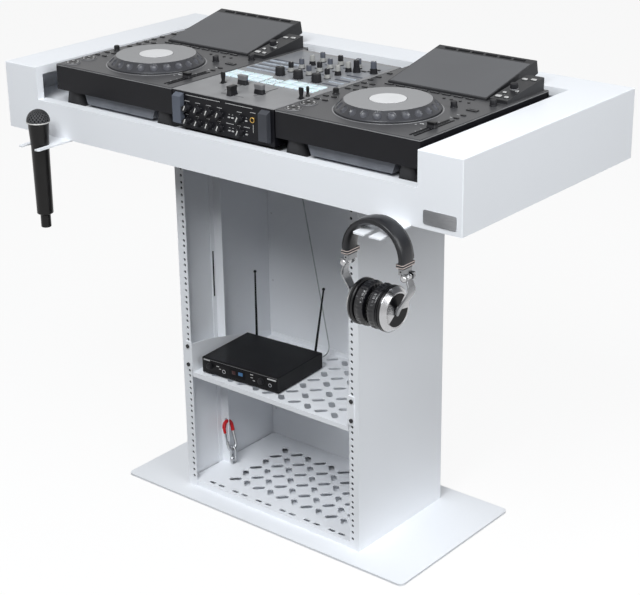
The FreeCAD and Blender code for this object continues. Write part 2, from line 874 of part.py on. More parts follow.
def snap_hook_gate():
    top = hook_top()
    pivot, tip = gate_span()
    y = top.y - hook_bend
    half = gate_radius / 2
    eye = rod(gate_radius, gate_radius, V(top.x - half, y, pivot), RIGHT)
    bar = block(top.x - half, top.x + half, y - gate_radius, y + half, pivot, tip - seat_gap)
    bore = rod(gate_pin_radius + running_fit, gate_radius, V(top.x - half, y, pivot), RIGHT)
    return hung_askew(eye.fuse(bar).cut(bore).removeSplitter())


def hook_links():
    # Two stretched links: one hung on the hook's lower bend, the next hung in it and standing on the shelf.
    foot = hook_foot()
    first_top = foot.z + hook_rod + seat_gap + link_rod
    first_low = V(foot.x, foot.y, first_top - link_bend - link_straight)
    first = long_ring(link_bend, link_straight, link_rod, first_low, REAR)
    second_top = first_low.z - link_bend + 2 * link_rod + seat_gap
    second_low = V(foot.x, foot.y, shelf_top + seat_gap + link_rod + link_bend)
    second = long_ring(link_bend, second_top - link_bend - second_low.z, link_rod, second_low, RIGHT)
    return Part.makeCompound([first, second])


# Microphone

def mic_levels():
    # Bottom of the tail, of the handle, top of the neck and of the ring.
    neck_top = tray_level + mic_neck_height
    handle_bottom = tray_level - mic_handle_length
    return handle_bottom - mic_tail_length, handle_bottom, neck_top, neck_top + mic_ring_height


def mic_body():
    tail, handle, neck, ring = mic_levels()
    shoulder = mic_handle_radius - mic_tail_radius
    profile = [(0, tail), (mic_tail_radius - mic_edge, tail), (mic_tail_radius, tail + mic_edge),
               (mic_tail_radius, handle - shoulder / 2), (mic_handle_radius - mic_edge, handle),
               (mic_handle_radius, handle + mic_edge), (mic_neck_radius, tray_level - fork_thick),
               (mic_neck_radius, tray_level + seat_gap), (mic_flare_radius, tray_level + mic_flare),
               (mic_collar_radius, neck), (0, neck)]
    return turned(profile, V(mic_x, mic_y, 0))


def mic_grille():
    # A ring on the neck under a half-ball basket, turned as one thin section and open below.
    tail, handle, neck, ring = mic_levels()
    outer = mic_head_radius - grille_inset
    inner = outer - grille_wall
    throat = mic_collar_radius - grille_wall

    def at(radius, level):
        return V(mic_x + radius, mic_y, level)

    def crown(radius):
        side = at(radius * cos(pi / 4), ring + radius * sin(pi / 4))
        return Part.Arc(at(radius, ring), side, at(0, ring + radius)).toShape()
    foot = [at(inner, ring), at(throat, ring), at(throat, neck), at(mic_head_radius, neck),
            at(mic_head_radius, ring), at(outer, ring)]
    edges = [Part.makeLine(a, b) for a, b in zip(foot, foot[1:])]
    edges.append(crown(outer))
    edges.append(Part.makeLine(at(0, ring + outer), at(0, ring + inner)))
    edges.append(crown(inner))
    section = Part.Face(Part.Wire(Part.__sortEdges__(edges)))
    return section.revolve(at(0, 0), UP, 360)


# Headphones, made for the right side and mirrored

def headband():
    # A half ring with short straight legs, crowned inside, with a pocket for each slider's tongue.
    inner, outer = band_inner_radius, band_inner_radius + band_thick
    half = band_width / 2
    corners = [V(phones_x + outer - band_edge, phones_y - half, band_level),
               V(phones_x + outer, phones_y, band_level),
               V(phones_x + outer - band_edge, phones_y + half, band_level),
               V(phones_x + inner + band_crown, phones_y + half, band_level),
               V(phones_x + inner, phones_y, band_level),
               V(phones_x + inner + band_crown, phones_y - half, band_level)]
    edges = [Part.Arc(corners[0], corners[1], corners[2]).toShape(), Part.makeLine(corners[2], corners[3]),
             Part.Arc(corners[3], corners[4], corners[5]).toShape(), Part.makeLine(corners[5], corners[0])]
    section = Part.Face(Part.Wire(edges))
    arch = section.revolve(V(phones_x, phones_y, band_level), -REAR, 180)
    leg = section.extrude(V(0, 0, -band_leg))
    band = arch.fuse([leg, mirrored(leg, phones_x)]).removeSplitter()
    pocket = tongue(band_end, band_end + tongue_length + seat_gap, fit)
    return band.cut([pocket, mirrored(pocket, phones_x)])


def tongue(low, high, spare):
    x = phones_x + band_middle_radius
    return block(x - tongue_thick / 2 - spare, x + tongue_thick / 2 + spare,
                 phones_y - tongue_width / 2 - spare, phones_y + tongue_width / 2 + spare, low, high)


def band_slider():
    # The block at the band's end, with its tongue and the two ears that hold the fold pin.
    x = phones_x + band_middle_radius
    top = band_end - seat_gap
    low = top - slider_height
    half = slider_width / 2
    pin_x = x + fold_out
    body = block(x - slider_thick / 2, x + slider_thick / 2, phones_y - half, phones_y + half, low, top)
    ears = []
    for y in (phones_y - half, phones_y + half - slider_ear):
        ears.append(block(pin_x - fold_eye_radius, pin_x + fold_eye_radius,
                          y, y + slider_ear, fold_level, low))
        ears.append(rod(fold_eye_radius, slider_ear, V(pin_x, y, fold_level), REAR))
    pin = rod(fold_pin_radius, slider_width, V(pin_x, phones_y - half, fold_level), REAR)
    stem = tongue(top, band_end + tongue_length, 0)
    return body.fuse(ears + [pin, stem]).removeSplitter()


def cup_arm():
    # A flat arm from the fold pin that bows outwards, then inwards and down to the middle of the cup.
    x = phones_x + band_middle_radius + fold_out
    half = slider_width / 2 - slider_ear - fit
    eye = rod(fold_eye_radius, 2 * half, V(x, phones_y - half, fold_level), REAR)
    cup_x = phones_x + cup_outer
    knee = fold_level - arm_knee_drop
    hip = cup_level + arm_hip_rise
    bow_x = x + arm_bow
    half_thick = arm_thick / 2
    outer = [(x + half_thick, fold_level), (bow_x + half_thick, knee),
             (cup_x + arm_thick, hip), (cup_x + arm_thick, cup_level - half)]
    inner = [(cup_x, cup_level - half), (cup_x, hip + half_thick),
             (bow_x - half_thick, knee + half_thick), (x - half_thick, fold_level)]
    bar = across_y(outer + inner, phones_y - half, phones_y + half)
    bore = rod(fold_pin_radius + running_fit, 2 * half, V(x, phones_y - half, fold_level), REAR)
    return eye.fuse(bar).cut(bore).removeSplitter()


def about_cup_axis(edges):
    face = Part.Face(Part.Wire(edges))
    return face.revolve(V(phones_x, phones_y, cup_level), RIGHT, 360)


def cup_point(along, radius):
    return V(phones_x + along, phones_y, cup_level + radius)


def ear_cup():
    shoulder = (cup_outer - cup_inner) / 2
    corners = [cup_point(cup_inner, 0), cup_point(cup_inner, cup_radius - cup_back_edge),
               cup_point(cup_inner + cup_back_edge, cup_radius), cup_point(cup_inner + shoulder, cup_radius),
               cup_point(cup_outer, cup_radius - cup_face_inset), cup_point(cup_outer, 0)]
    return about_cup_axis([Part.makeLine(a, b) for a, b in zip(corners, corners[1:] + corners[:1])])


def ear_cushion():
    # A padded ring: bulging outer side, crowned face and a straight inner wall.
    rim = cushion_radius - cushion_rim_inset
    crest = (rim + cushion_hole) / 2
    back_in, back_out = cup_point(cup_inner, cushion_hole), cup_point(cup_inner, rim)
    bulge = cup_point(cup_inner - cushion_bulge_depth, cushion_radius)
    shoulder = cup_point(cushion_face + cushion_crown_depth, rim)
    crown = cup_point(cushion_face, crest)
    lip = cup_point(cushion_face + cushion_crown_depth, cushion_hole)
    return about_cup_axis([Part.makeLine(back_in, back_out), Part.Arc(back_out, bulge, shoulder).toShape(),
                           Part.Arc(shoulder, crown, lip).toShape(), Part.makeLine(lip, back_in)])


# Decks

def deck_spindle_point(x):
    return V(x + deck_width / 2, deck_front + jog_centre, 0)


def console_tilt():
    return degrees(atan2(console_rise - console_front, console_length))


def browse_place(x):
    # Centre of the knob on the sloping console.
    along = browse_along / console_length
    level = deck_top + console_front + (console_rise - console_front) * along
    return V(x + console_x + console_width / 2, deck_front + console_y + browse_along, level)


def browse_axis():
    angle = radians(console_tilt())
    return V(0, -sin(angle), cos(angle))


def tempo_place(x):
    return V(x + tempo_x, deck_front + tempo_y, 0)


def press_place(x, y):
    return V(x + button_x, deck_front + y, 0)


def deck_case(x):
    # Body over a smaller chassis and skirt, with the console, jog spindle, display and control wells.
    back = deck_front + deck_depth
    body = block(x, x + deck_width, deck_front, back, deck_top - deck_body, deck_top)

    def on_top(edge):
        return edge.BoundBox.ZMin > deck_top - 1e-6
    body = rounded(body, deck_edge, on_top)
    chassis = block(x + chassis_side, x + deck_width - chassis_side, deck_front + chassis_front,
                    back - chassis_side, floor_top + chassis_gap, deck_top - deck_body)
    under = deck_top - deck_body
    skirt_low = floor_top + chassis_gap
    skirt_left, skirt_right = x + skirt_inset, x + deck_width - skirt_inset
    skirt = across_y([(skirt_left, under), (skirt_right, under), (skirt_right - skirt_slant, skirt_low),
                      (skirt_left + skirt_slant, skirt_low)],
                     deck_front + skirt_setback, deck_front + chassis_front)
    console_back = deck_front + console_y + console_length
    console = across_x([(deck_front + console_y, deck_top - deck_edge),
                        (deck_front + console_y, deck_top + console_front),
                        (console_back, deck_top + console_rise), (console_back, deck_top - deck_edge)],
                       x + console_x, x + console_x + console_width)
    centre = deck_spindle_point(x)
    display_floor = jog_floor + jog_height - display_depth
    spindle = rod(spindle_radius, display_floor - deck_top + deck_edge, centre + UP * (deck_top - deck_edge))
    display = rod(display_radius, display_depth, centre + UP * display_floor)
    tempo = tempo_place(x)
    tempo_run = 2 * tempo_travel + tempo_cap[1] + fader_slot_width
    tempo_slot = slot(tempo.x, tempo.y, tempo_run, fader_slot_width, 90,
                      deck_top - fader_slot_depth, deck_top)
    wells = [rod(button_radius + fit, button_well, press_place(x, y) + UP * (deck_top - button_well))
             for y in (play_y, cue_y)]
    knob = browse_place(x)
    bore = rod(shaft_radius + running_fit, shaft_depth + fit, knob, -browse_axis())
    whole = body.fuse([chassis, skirt, console, spindle, display])
    return whole.cut([tempo_slot, bore] + wells).removeSplitter()


def jog_wheel(x):
    # A broad dish turning on the spindle: low rim, sloping ring, flat top and a recess for the display.
    top = jog_floor + jog_height
    recess = top - display_depth - seat_gap
    profile = [(spindle_radius + running_fit, jog_floor), (jog_radius, jog_floor),
               (jog_radius, jog_floor + jog_rim),
               (jog_top_radius, top - jog_lip), (jog_top_radius - jog_lip, top), (display_radius + fit, top),
               (display_radius + fit, recess), (spindle_radius + running_fit, recess)]
    return turned(profile, deck_spindle_point(x))


def deck_screen(x):
    # A thick tilted slab that rests on the deck's rear half.
    y = deck_front + screen_y
    rear_foot = deck_front + deck_depth
    top_y, top_z = y + screen_length, deck_top + screen_front + screen_lift
    side = [(y, deck_top), (y, deck_top + screen_front), (top_y, top_z),
            (top_y + screen_back_slant, top_z - screen_thick), (rear_foot, deck_top + screen_front),
            (rear_foot, deck_top)]
    slab = across_x(side, x + screen_left_gap, x + screen_left_gap + screen_width)

    def at_rear_top(edge):
        box = edge.BoundBox
        return box.ZMin > top_z - 1e-6
    return rounded(slab, deck_edge, at_rear_top)


def fader(cap, place, along_x):
    # A cap hovering over its slot, with a stem reaching down into it.
    level = deck_top + fader_hover
    body = centred_block(cap, place.x, place.y, level)

    def on_top(edge):
        return edge.BoundBox.ZMin > level + cap[2] - 1e-6
    body = rounded(body, cap_round, on_top)
    stem_size = (cap[0] / 2, fader_stem) if along_x else (fader_stem, cap[1] / 2)
    stem_foot = deck_top - fader_stem_depth
    stem = centred_block((*stem_size, level - stem_foot), place.x, place.y, stem_foot)
    return body.fuse(stem).removeSplitter()


def press_button(x, y):
    centre = press_place(x, y)
    low = deck_top - button_sink
    button = rod(button_radius, deck_top + button_rise - low, centre + UP * low)

    def on_top(edge):
        return edge.BoundBox.ZMin > deck_top + button_rise - 1e-6
    return rounded(button, button_round, on_top)


def browse_knob(x):
    place, axis = browse_place(x), browse_axis()
    body = rod(browse_radius, browse_height, place + axis * seat_gap, axis)
    shaft = rod(shaft_radius, shaft_depth + seat_gap, place - axis * shaft_depth, axis)
    return body.fuse(shaft).removeSplitter()


def deck_button_places(x):
    # Hot cues below the screen, then the small buttons of the left and right columns: x, y, width, length.
    hot_y = deck_front + screen_y - hot_cue_screen_gap - hot_cue_size[1] / 2
    hot_x = x + screen_left_gap + hot_cue_size[0] / 2
    places = [(hot_x + hot_cue_pitch * k, hot_y, *hot_cue_size) for k in range(hot_cues)]
    places += [(x + column, deck_front + row, *side_button_size)
               for column in left_button_columns for row in left_button_rows]
    places += [(x + edge_button_x, deck_front + row, *side_button_size) for row in edge_button_rows]
    places += [(x + tempo_x, deck_front + row, *side_button_size) for row in right_button_rows]
    wide_x, wide_y = x + deck_width - wide_key_gaps[0], deck_front + screen_y - wide_key_gaps[1]
    places.append((wide_x, wide_y, *wide_key_size))
    return places


def deck_buttons():
    buttons = []
    for x in (deck_left_x, deck_right_x):
        for bx, by, width, length in deck_button_places(x):
            buttons.append(centred_block((width, length, small_button_height), bx, by, deck_top))
        spots = [left_knob_spot] + [(deck_width - side, screen_y - gap) for side, gap in right_knob_gaps]
        for column, row in spots:
            buttons.append(rod(knob_radius, deck_knob_height, V(x + column, deck_front + row, deck_top)))
    return Part.makeCompound(buttons)


def rubber_feet():
    # Tall tapered feet in front of each chassis, short ones under its rear, and plain ones under the mixer.
    feet = []
    for x in (deck_left_x, deck_right_x):
        for fx in (x + foot_inset, x + deck_width - foot_inset):
            front = V(fx, deck_front + chassis_front / 2, floor_top)
            feet.append(Part.makeCone(foot_radius_base, foot_radius_top, deck_height - deck_body, front))
            rear = V(fx, deck_front + deck_depth - chassis_side - 2 * rear_foot_radius, floor_top)
            feet.append(rod(rear_foot_radius, chassis_gap, rear))
    for fx in (mixer_x - mixer_half + foot_inset, mixer_x + mixer_half - foot_inset):
        for fy in (deck_front + foot_inset, deck_front + mixer_depth - foot_inset):
            feet.append(rod(mixer_foot_radius, mixer_foot, V(fx, fy, floor_top)))
    return Part.makeCompound(feet)


# Mixer

def mixer_spot(x, y):
    return V(mixer_x + x, deck_front + y, 0)


def mixer_case():
    # Plain case with its two front handles, the fader slots and the paddle pockets.
    x0, x1 = mixer_x - mixer_half, mixer_x + mixer_half
    low = floor_top + mixer_foot
    body = block(x0, x1, deck_front, deck_front + mixer_depth, low, deck_top)

    def on_top(edge):
        return edge.BoundBox.ZMin > deck_top - 1e-6
    body = rounded(body, deck_edge, on_top)
    slant = handle_reach / 2
    handle_side = [(deck_front, low + handle_margin), (deck_front, deck_top - handle_margin),
                   (deck_front - handle_reach, deck_top - handle_margin - slant),
                   (deck_front - handle_reach, low + handle_margin + slant)]
    handles = [across_x(handle_side, x, x + handle_width)
               for x in (x0 + handle_inset, x1 - handle_inset - handle_width)]
    cross = mixer_spot(0, crossfader_y)
    cross_run = 2 * crossfader_travel + crossfader_cap[0] + fader_slot_width
    cuts = [slot(cross.x, cross.y, cross_run, fader_slot_width, 0, deck_top - fader_slot_depth, deck_top)]
    for side, pocket_x in zip((-1, 1), paddle_x):
        spot = mixer_spot(side * channel_fader_x, channel_fader_y)
        cuts.append(slot(spot.x, spot.y, 2 * channel_fader_travel + channel_cap[1] + fader_slot_width,
                         fader_slot_width, 90, deck_top - fader_slot_depth, deck_top))
        pocket = mixer_spot(pocket_x, paddle_y)
        half = paddle_width / 2 + fit
        cuts.append(block(pocket.x - half, pocket.x + half, pocket.y - paddle_pocket / 2,
                          pocket.y + paddle_pocket / 2, deck_top - paddle_pocket_depth, deck_top))
    return body.fuse(handles).cut(cuts).removeSplitter()


def paddle(x):
    spot = mixer_spot(x, paddle_y)
    pivot = deck_top - paddle_pivot
    half = paddle_width / 2
    hub = rod(paddle_thick / 2, paddle_width, V(spot.x - half, spot.y, pivot), RIGHT)
    lever = across_x([(spot.y - paddle_thick / 2, pivot), (spot.y + paddle_thick / 2, pivot),
                      (spot.y + paddle_thick / 3, pivot + paddle_height + paddle_pivot),
                      (spot.y - paddle_thick / 3, pivot + paddle_height + paddle_pivot)],
                     spot.x - half, spot.x + half)
    return hub.fuse(lever).removeSplitter()


def channel_fader(side):
    spot = mixer_spot(side * channel_fader_x, channel_fader_y - side * channel_fader_offset)
    return fader(channel_cap, spot, False)


def mixer_knobs():
    # Rows of tapered knobs on top with a wider one in front, two taller ones, a side lever, and the front's.
    knobs = []
    for column in range(knob_columns):
        for row in range(knob_rows):
            spot = mixer_spot(knob_x + knob_pitch_x * column, knob_y + knob_pitch_y * row)
            radius = knob_radius if row else big_knob_radius
            height = knob_height if row else big_knob_height
            knobs.append(Part.makeCone(radius, radius - knob_taper, height, spot + UP * deck_top))
    for x, gap in zip(tall_knob_x, tall_knob_rear_gap):
        spot = mixer_spot(x, mixer_depth - gap)
        knobs.append(Part.makeCone(tall_knob_radius, tall_knob_radius - tall_knob_taper,
                                   knob_height + tall_knob_extra, spot + UP * deck_top))
    lever = mixer_spot(paddle_x[1], side_lever_y)
    knobs.append(Part.makeCone(side_lever_radius, side_lever_tip, side_lever_height, lever + UP * deck_top))
    low = floor_top + mixer_foot
    for column in front_knob_columns:
        for rise in front_knob_rise:
            place = V(mixer_x + front_knob_x + front_knob_pitch * column, deck_front, low + rise)
            knobs.append(Part.makeCone(front_knob_radius, front_knob_radius - front_knob_taper,
                                       front_knob_height, place, -REAR))
    knobs.append(rod(jack_radius, jack_length, V(mixer_x + jack_x, deck_front, low + jack_rise), -REAR))
    return Part.makeCompound(knobs)


def mixer_pads():
    # Two banks of square pads, and the pale strips to the left of the knobs.
    pads = []
    for bank_x in pad_bank_x:
        for column in range(pad_columns):
            for row in range(pad_rows):
                along = pad_pitch * (column - (pad_columns - 1) / 2)
                spot = mixer_spot(bank_x + along, pad_y + pad_pitch * row)
                pads.append(centred_block((pad_size, pad_size, pad_height), spot.x, spot.y, deck_top))
    for column in range(strip_columns):
        for row in range(strip_rows):
            spot = mixer_spot(strip_x + column * (strip_size[0] + pad_gap), strip_y + strip_pitch * row)
            pads.append(centred_block((*strip_size, small_button_height), spot.x, spot.y, deck_top))
    return Part.makeCompound(pads)


# Receiver, drawn square to the booth about its own centre and turned into place

def receiver_floor():
    return rack_shelf_level + sheet


def placed_on_shelf(shape):
    shape.rotate(V(0, 0, 0), UP, receiver_turn)
    shape.translate(V(receiver_x, receiver_y, 0))
    return shape


def antenna_hub(side):
    rear = receiver_size[1] / 2
    return V(side * antenna_spread / 2, rear + seat_gap, receiver_floor() + receiver_foot + antenna_rise)


def socket_end():
    # Where the lead enters the receiver's socket, in the booth's frame.
    angle = radians(receiver_turn)
    x, y = socket_x, receiver_size[1] / 2 + socket_length
    level = receiver_floor() + receiver_foot + socket_rise
    aside = x * cos(angle) - y * sin(angle)
    behind = x * sin(angle) + y * cos(angle)
    return V(receiver_x + aside, receiver_y + behind, level)


def receiver_case():
    width, depth, height = receiver_size
    low = receiver_floor() + receiver_foot
    body = centred_block((width, depth, height), 0, 0, low)

    def on_top(edge):
        return edge.BoundBox.ZMin > low + height - 1e-6
    body = rounded(body, deck_edge, on_top)
    foot_x, foot_y = width / 2 - receiver_foot_inset, depth / 2 - receiver_foot_inset
    feet = [rod(receiver_foot_radius, receiver_foot, V(sx * foot_x, sy * foot_y, low - receiver_foot))
            for sx in (-1, 1) for sy in (-1, 1)]
    pins = []
    for side in (-1, 1):
        hub = antenna_hub(side)
        pins.append(rod(antenna_pin_radius, antenna_hub_length + seat_gap, hub - REAR * seat_gap, REAR))
    socket = rod(socket_radius, socket_length, V(socket_x, depth / 2, low + socket_rise), REAR)
    knobs = [rod(receiver_knob_radius, receiver_knob_length, V(x, -depth / 2, low + height / 2), -REAR)
             for x in receiver_knob_x]
    return placed_on_shelf(body.fuse(feet + pins + knobs + [socket]).removeSplitter())


def receiver_antenna(side, lean):
    hub = antenna_hub(side)
    middle = hub + REAR * (antenna_hub_length / 2)
    body = rod(antenna_hub_radius, antenna_hub_length, hub, REAR)
    wire = Part.makeCone(antenna_radius, antenna_radius - antenna_taper, antenna_length, middle)
    tip = Part.makeSphere(antenna_tip_radius, middle + UP * antenna_length)
    bore = rod(antenna_pin_radius + running_fit, antenna_hub_length, hub, REAR)
    whole = body.fuse([wire, tip]).cut(bore).removeSplitter()
    whole.rotate(middle, REAR, lean)
    return placed_on_shelf(whole)


def lead_points():
    gland_bottom = V(lead_top.x, lead_top.y, floor_top - sheet - gland_length)
    end = socket_end()
    straight_in = V(-sin(radians(receiver_turn)), cos(radians(receiver_turn)), 0) * lead_straight
    middle = V(receiver_x, receiver_y, receiver_floor())
    bends = [middle + bend for bend in (lead_drop_end, lead_curl_back, lead_curl_low)]
    return [gland_bottom] + bends + [end + straight_in, end]


def receiver_lead():
    # A thin round lead along straight runs joined by tangent arcs as large as the runs allow.
    points = lead_points()
    edges = []
    start = points[0]
    for before, corner, after in zip(points, points[1:], points[2:]):
        into = (corner - before).normalize()
        out = (after - corner).normalize()
        turn = into.getAngle(out)
        shorter = min((corner - before).Length, (after - corner).Length)
        radius = 0.45 * shorter / tan(turn / 2)
        print("lead bend radius", round(radius, 1), "turn", round(degrees(turn), 1))
        set_back = 0.45 * shorter
        first, last = corner - into * set_back, corner + out * set_back
        bisector = (out - into).normalize()
        middle = corner + bisector * (radius / cos(turn / 2) - radius)
        edges.append(Part.LineSegment(start, first).toShape())
        edges.append(Part.Arc(first, middle, last).toShape())
        start = last
    edges.append(Part.LineSegment(start, points[-1]).toShape())
    path = Part.Wire(edges)
    along = (points[1] - points[0]).normalize()
    section = Part.Wire([Part.makeCircle(lead_radius, points[0], along)])
    tube = path.makePipeShell([section], True, False)
    share = tube.Volume / (pi * lead_radius ** 2 * path.Length)
    print("lead length", round(path.Length, 1), "volume share", share)
    return tube


def build():
    nodes = {
        "base_plate": base_plate(),
        "column_left_side": mirrored(column_side()),
        "column_right_side": column_side(),
        "column_back_panel": column_back_panel(),
        "column_bottom_shelf": column_bottom_shelf(),
        "rack_rails": Part.makeCompound([mirrored(rack_rail()), rack_rail()]),
        "rear_rails": rear_rails(),
        "rack_shelf": rack_shelf(),
        "tray_bottom": tray_bottom(),
        "tray_front_panel": tray_front_panel(),
        "tray_left_arm": mirrored(tray_arm()),
        "tray_right_arm": tray_arm(),
        "tray_back_wall": tray_back_wall(),
        "tray_floor": tray_floor(),
        "badge_plate": badge_plate(),
        "mic_holder": mic_holder(),
        "headphone_hook": headphone_hook(),
        "booth_screws": booth_screws(),
        "snap_hook": snap_hook(),
        "snap_hook_gate": snap_hook_gate(),
        "hook_links": hook_links(),
        "mic_body": mic_body(),
        "mic_grille": mic_grille(),
        "headband": headband(),
        "deck_buttons": deck_buttons(),
        "rubber_feet": rubber_feet(),
        "mixer_case": mixer_case(),
        "crossfader": fader(crossfader_cap, mixer_spot(0, crossfader_y), True),
        "mixer_knobs": mixer_knobs(),
        "mixer_pads": mixer_pads(),
        "receiver_case": receiver_case(),
        "receiver_lead": receiver_lead(),
    }
    for name, side, x in (("left", -1, deck_left_x), ("right", 1, deck_right_x)):
        nodes[name + "_deck_case"] = deck_case(x)
        nodes[name + "_jog_wheel"] = jog_wheel(x)
        nodes[name + "_screen"] = deck_screen(x)
        nodes[name + "_tempo_fader"] = fader(tempo_cap, tempo_place(x), False)
        nodes[name + "_play_button"] = press_button(x, play_y)
        nodes[name + "_cue_button"] = press_button(x, cue_y)
        nodes[name + "_browse_knob"] = browse_knob(x)
        nodes[name + "_channel_fader"] = channel_fader(side)
        nodes[name + "_paddle"] = paddle(paddle_x[0] if side < 0 else paddle_x[1])
        nodes[name + "_antenna"] = receiver_antenna(side, antenna_lean if side > 0 else 0)
    for piece, make in (("band_slider", band_slider), ("cup_arm", cup_arm), ("ear_cup", ear_cup),
                        ("ear_cushion", ear_cushion)):
        nodes["right_" + piece] = make()
        nodes["left_" + piece] = mirrored(make(), phones_x)
    return nodes


os.makedirs("parts", exist_ok=True)
for node, shape in build().items():
    if not shape.isValid():
        print("not valid:", node)
    shape.exportStep("parts/" + node + ".step")
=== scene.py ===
import math
import bpy
import numpy as np
from mathutils import Matrix, Vector


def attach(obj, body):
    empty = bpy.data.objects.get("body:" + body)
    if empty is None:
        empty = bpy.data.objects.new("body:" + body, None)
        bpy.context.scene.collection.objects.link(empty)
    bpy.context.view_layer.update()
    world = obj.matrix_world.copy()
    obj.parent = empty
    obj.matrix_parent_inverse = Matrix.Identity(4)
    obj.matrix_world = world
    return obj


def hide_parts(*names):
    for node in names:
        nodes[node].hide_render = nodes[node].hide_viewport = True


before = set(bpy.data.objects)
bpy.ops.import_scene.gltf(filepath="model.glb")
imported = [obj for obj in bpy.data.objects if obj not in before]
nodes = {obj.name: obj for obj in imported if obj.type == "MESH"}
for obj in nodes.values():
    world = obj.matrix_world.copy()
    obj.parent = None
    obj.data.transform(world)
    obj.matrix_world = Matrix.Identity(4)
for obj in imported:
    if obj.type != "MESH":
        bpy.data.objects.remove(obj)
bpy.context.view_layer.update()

metre = 0.001  # shapes are worked out in millimetres
fullTurn = 2 * math.pi
print("stage: frame loaded,", len(nodes), "nodes")

# Finishes

surface = {"tintRange": (0.3, 0.7), "broadDetail": 4, "fineDetail": 2, "grainDepth": 0.0004,
           "grooveDepth": 0.0003, "leatherDepth": 0.0005,
           "waveLength": 0.31415}  # a wave texture of scale 1 repeats at that length


def connect(tree, node, inputs):
    # an input is a plain value or the output of another node
    for key, value in inputs.items():
        if isinstance(value, bpy.types.NodeSocket):
            tree.links.new(value, node.inputs[key])
        else:
            node.inputs[key].default_value = value


def addNode(tree, kind, inputs, **settings):
    # a shader node with its settings and inputs; gives its outputs
    made = tree.nodes.new("ShaderNode" + kind)
    for key, value in settings.items():
        setattr(made, key, value)
    connect(tree, made, inputs)
    return made.outputs


def finish(name, colour, rough, mottle, grain, specular=0.5, metallic=0.0, roughVary=0.06, stretch=(1, 1, 1),
           zones=(), **sockets):
    # in object space a broad noise (scale, amount) tints the colour and the roughness and a fine one (scale,
    # strength) is the bump; zones repaint parts of a piece, sockets are other inputs of the shader
    mat = bpy.data.materials.new(name)
    mat.use_nodes = True
    tree = mat.node_tree
    spot = addNode(tree, "TexCoord", {})["Object"]
    place = addNode(tree, "Mapping", {"Vector": spot, "Scale": stretch})["Vector"]
    broad = addNode(tree, "TexNoise",
                    {"Vector": place, "Scale": mottle[0], "Detail": surface["broadDetail"]})["Fac"]
    low, high = surface["tintRange"]
    tint = addNode(tree, "MapRange", {"Value": broad, "From Min": low, "From Max": high,
                                      "To Min": 1 - mottle[1], "To Max": 1 + mottle[1]})["Result"]
    base = zoneColour(tree, spot, colour, zones) if zones else colour
    tinted = addNode(tree, "VectorMath", {0: base, "Scale": tint}, operation="SCALE")["Vector"]
    dull = addNode(tree, "MapRange",
                   {"Value": broad, "To Min": rough - roughVary, "To Max": rough + roughVary})["Result"]
    fine = addNode(tree, "TexNoise",
                   {"Vector": place, "Scale": grain[0], "Detail": surface["fineDetail"]})["Fac"]
    bump = addNode(tree, "Bump",
                   {"Height": fine, "Strength": grain[1], "Distance": surface["grainDepth"]})["Normal"]
    shader = tree.nodes["Principled BSDF"]
    connect(tree, shader, {"Base Color": tinted, "Roughness": dull, "Normal": bump, "Metallic": metallic,
                           "Specular IOR Level": specular})
    connect(tree, shader, {key.replace("_", " "): value for key, value in sockets.items()})
    return mat


def zoneColour(tree, spot, colour, zones):
    # each zone is (axis, bound, side, colour): past that bound along that axis its colour takes over
    split = addNode(tree, "SeparateXYZ", {"Vector": spot})
    current = (*colour, 1)
    for axis, bound, side, zone in zones:
        test = "GREATER_THAN" if side > 0 else "LESS_THAN"
        past = addNode(tree, "Math", {0: split[axis], 1: bound}, operation=test)["Value"]
        current = addNode(tree, "Mix", {"Factor": past, "A": current, "B": (*zone, 1)},
                          data_type="RGBA")["Result"]
    return current


def bumpOver(mat, height, strength, depth):
    # one more bump laid over the fine grain
    tree = mat.node_tree
    normal = tree.nodes["Principled BSDF"].inputs["Normal"]
    over = addNode(tree, "Bump", {"Height": height, "Normal": normal.links[0].from_socket,
                                  "Strength": strength, "Distance": depth})
    tree.links.new(over["Normal"], normal)
    return mat


def addRings(mat, centre, spacing, strength, axis="Z"):
    # fine turned grooves about an axis along Z or X through centre
    tree = mat.node_tree
    shift = (-centre[0], -centre[1], 0) if axis == "Z" else (0, -centre[0], -centre[1])
    spot = addNode(tree, "TexCoord", {})["Object"]
    place = addNode(tree, "Mapping", {"Vector": spot, "Location": shift})["Vector"]
    rings = addNode(tree, "TexWave", {"Vector": place, "Scale": surface["waveLength"] / spacing},
                    wave_type="RINGS", rings_direction=axis)["Fac"]
    return bumpOver(mat, rings, strength, surface["grooveDepth"])


def addLeather(mat, scale, strength):
    # small leather cells
    tree = mat.node_tree
    spot = addNode(tree, "TexCoord", {})["Object"]
    cells = addNode(tree, "TexVoronoi", {"Vector": spot, "Scale": scale})["Distance"]
    return bumpOver(mat, cells, strength, surface["leatherDepth"])


weave = {"scale": 1.0, "strength": 1.0, "depth": 0.0008, "sharpness": 3.0, "gap": (0.003, 0.003, 0.004, 1),
         "wire": (0.085, 0.086, 0.09, 1)}


def addWeave(mat):
    # two crossed wave bands on the piece's own UV make a woven wire screen, dark between its wires
    tree = mat.node_tree
    uv = addNode(tree, "UVMap", {})["UV"]
    bands = [addNode(tree, "TexWave", {"Vector": uv, "Scale": weave["scale"]}, bands_direction=way)["Fac"]
             for way in "XY"]
    higher = addNode(tree, "Math", dict(enumerate(bands)), operation="MAXIMUM")["Value"]
    wires = addNode(tree, "Math", {0: higher, 1: weave["sharpness"]}, operation="POWER")["Value"]
    bump = addNode(tree, "Bump",
                   {"Height": wires, "Strength": weave["strength"], "Distance": weave["depth"]})["Normal"]
    tone = addNode(tree, "Mix", {"Factor": wires, "A": weave["gap"], "B": weave["wire"]},
                   data_type="RGBA")["Result"]
    connect(tree, tree.nodes["Principled BSDF"], {"Normal": bump, "Base Color": tone})
    return mat


# Each line gives colour, roughness, mottle, grain and, for dark or dull finishes, a lower gloss

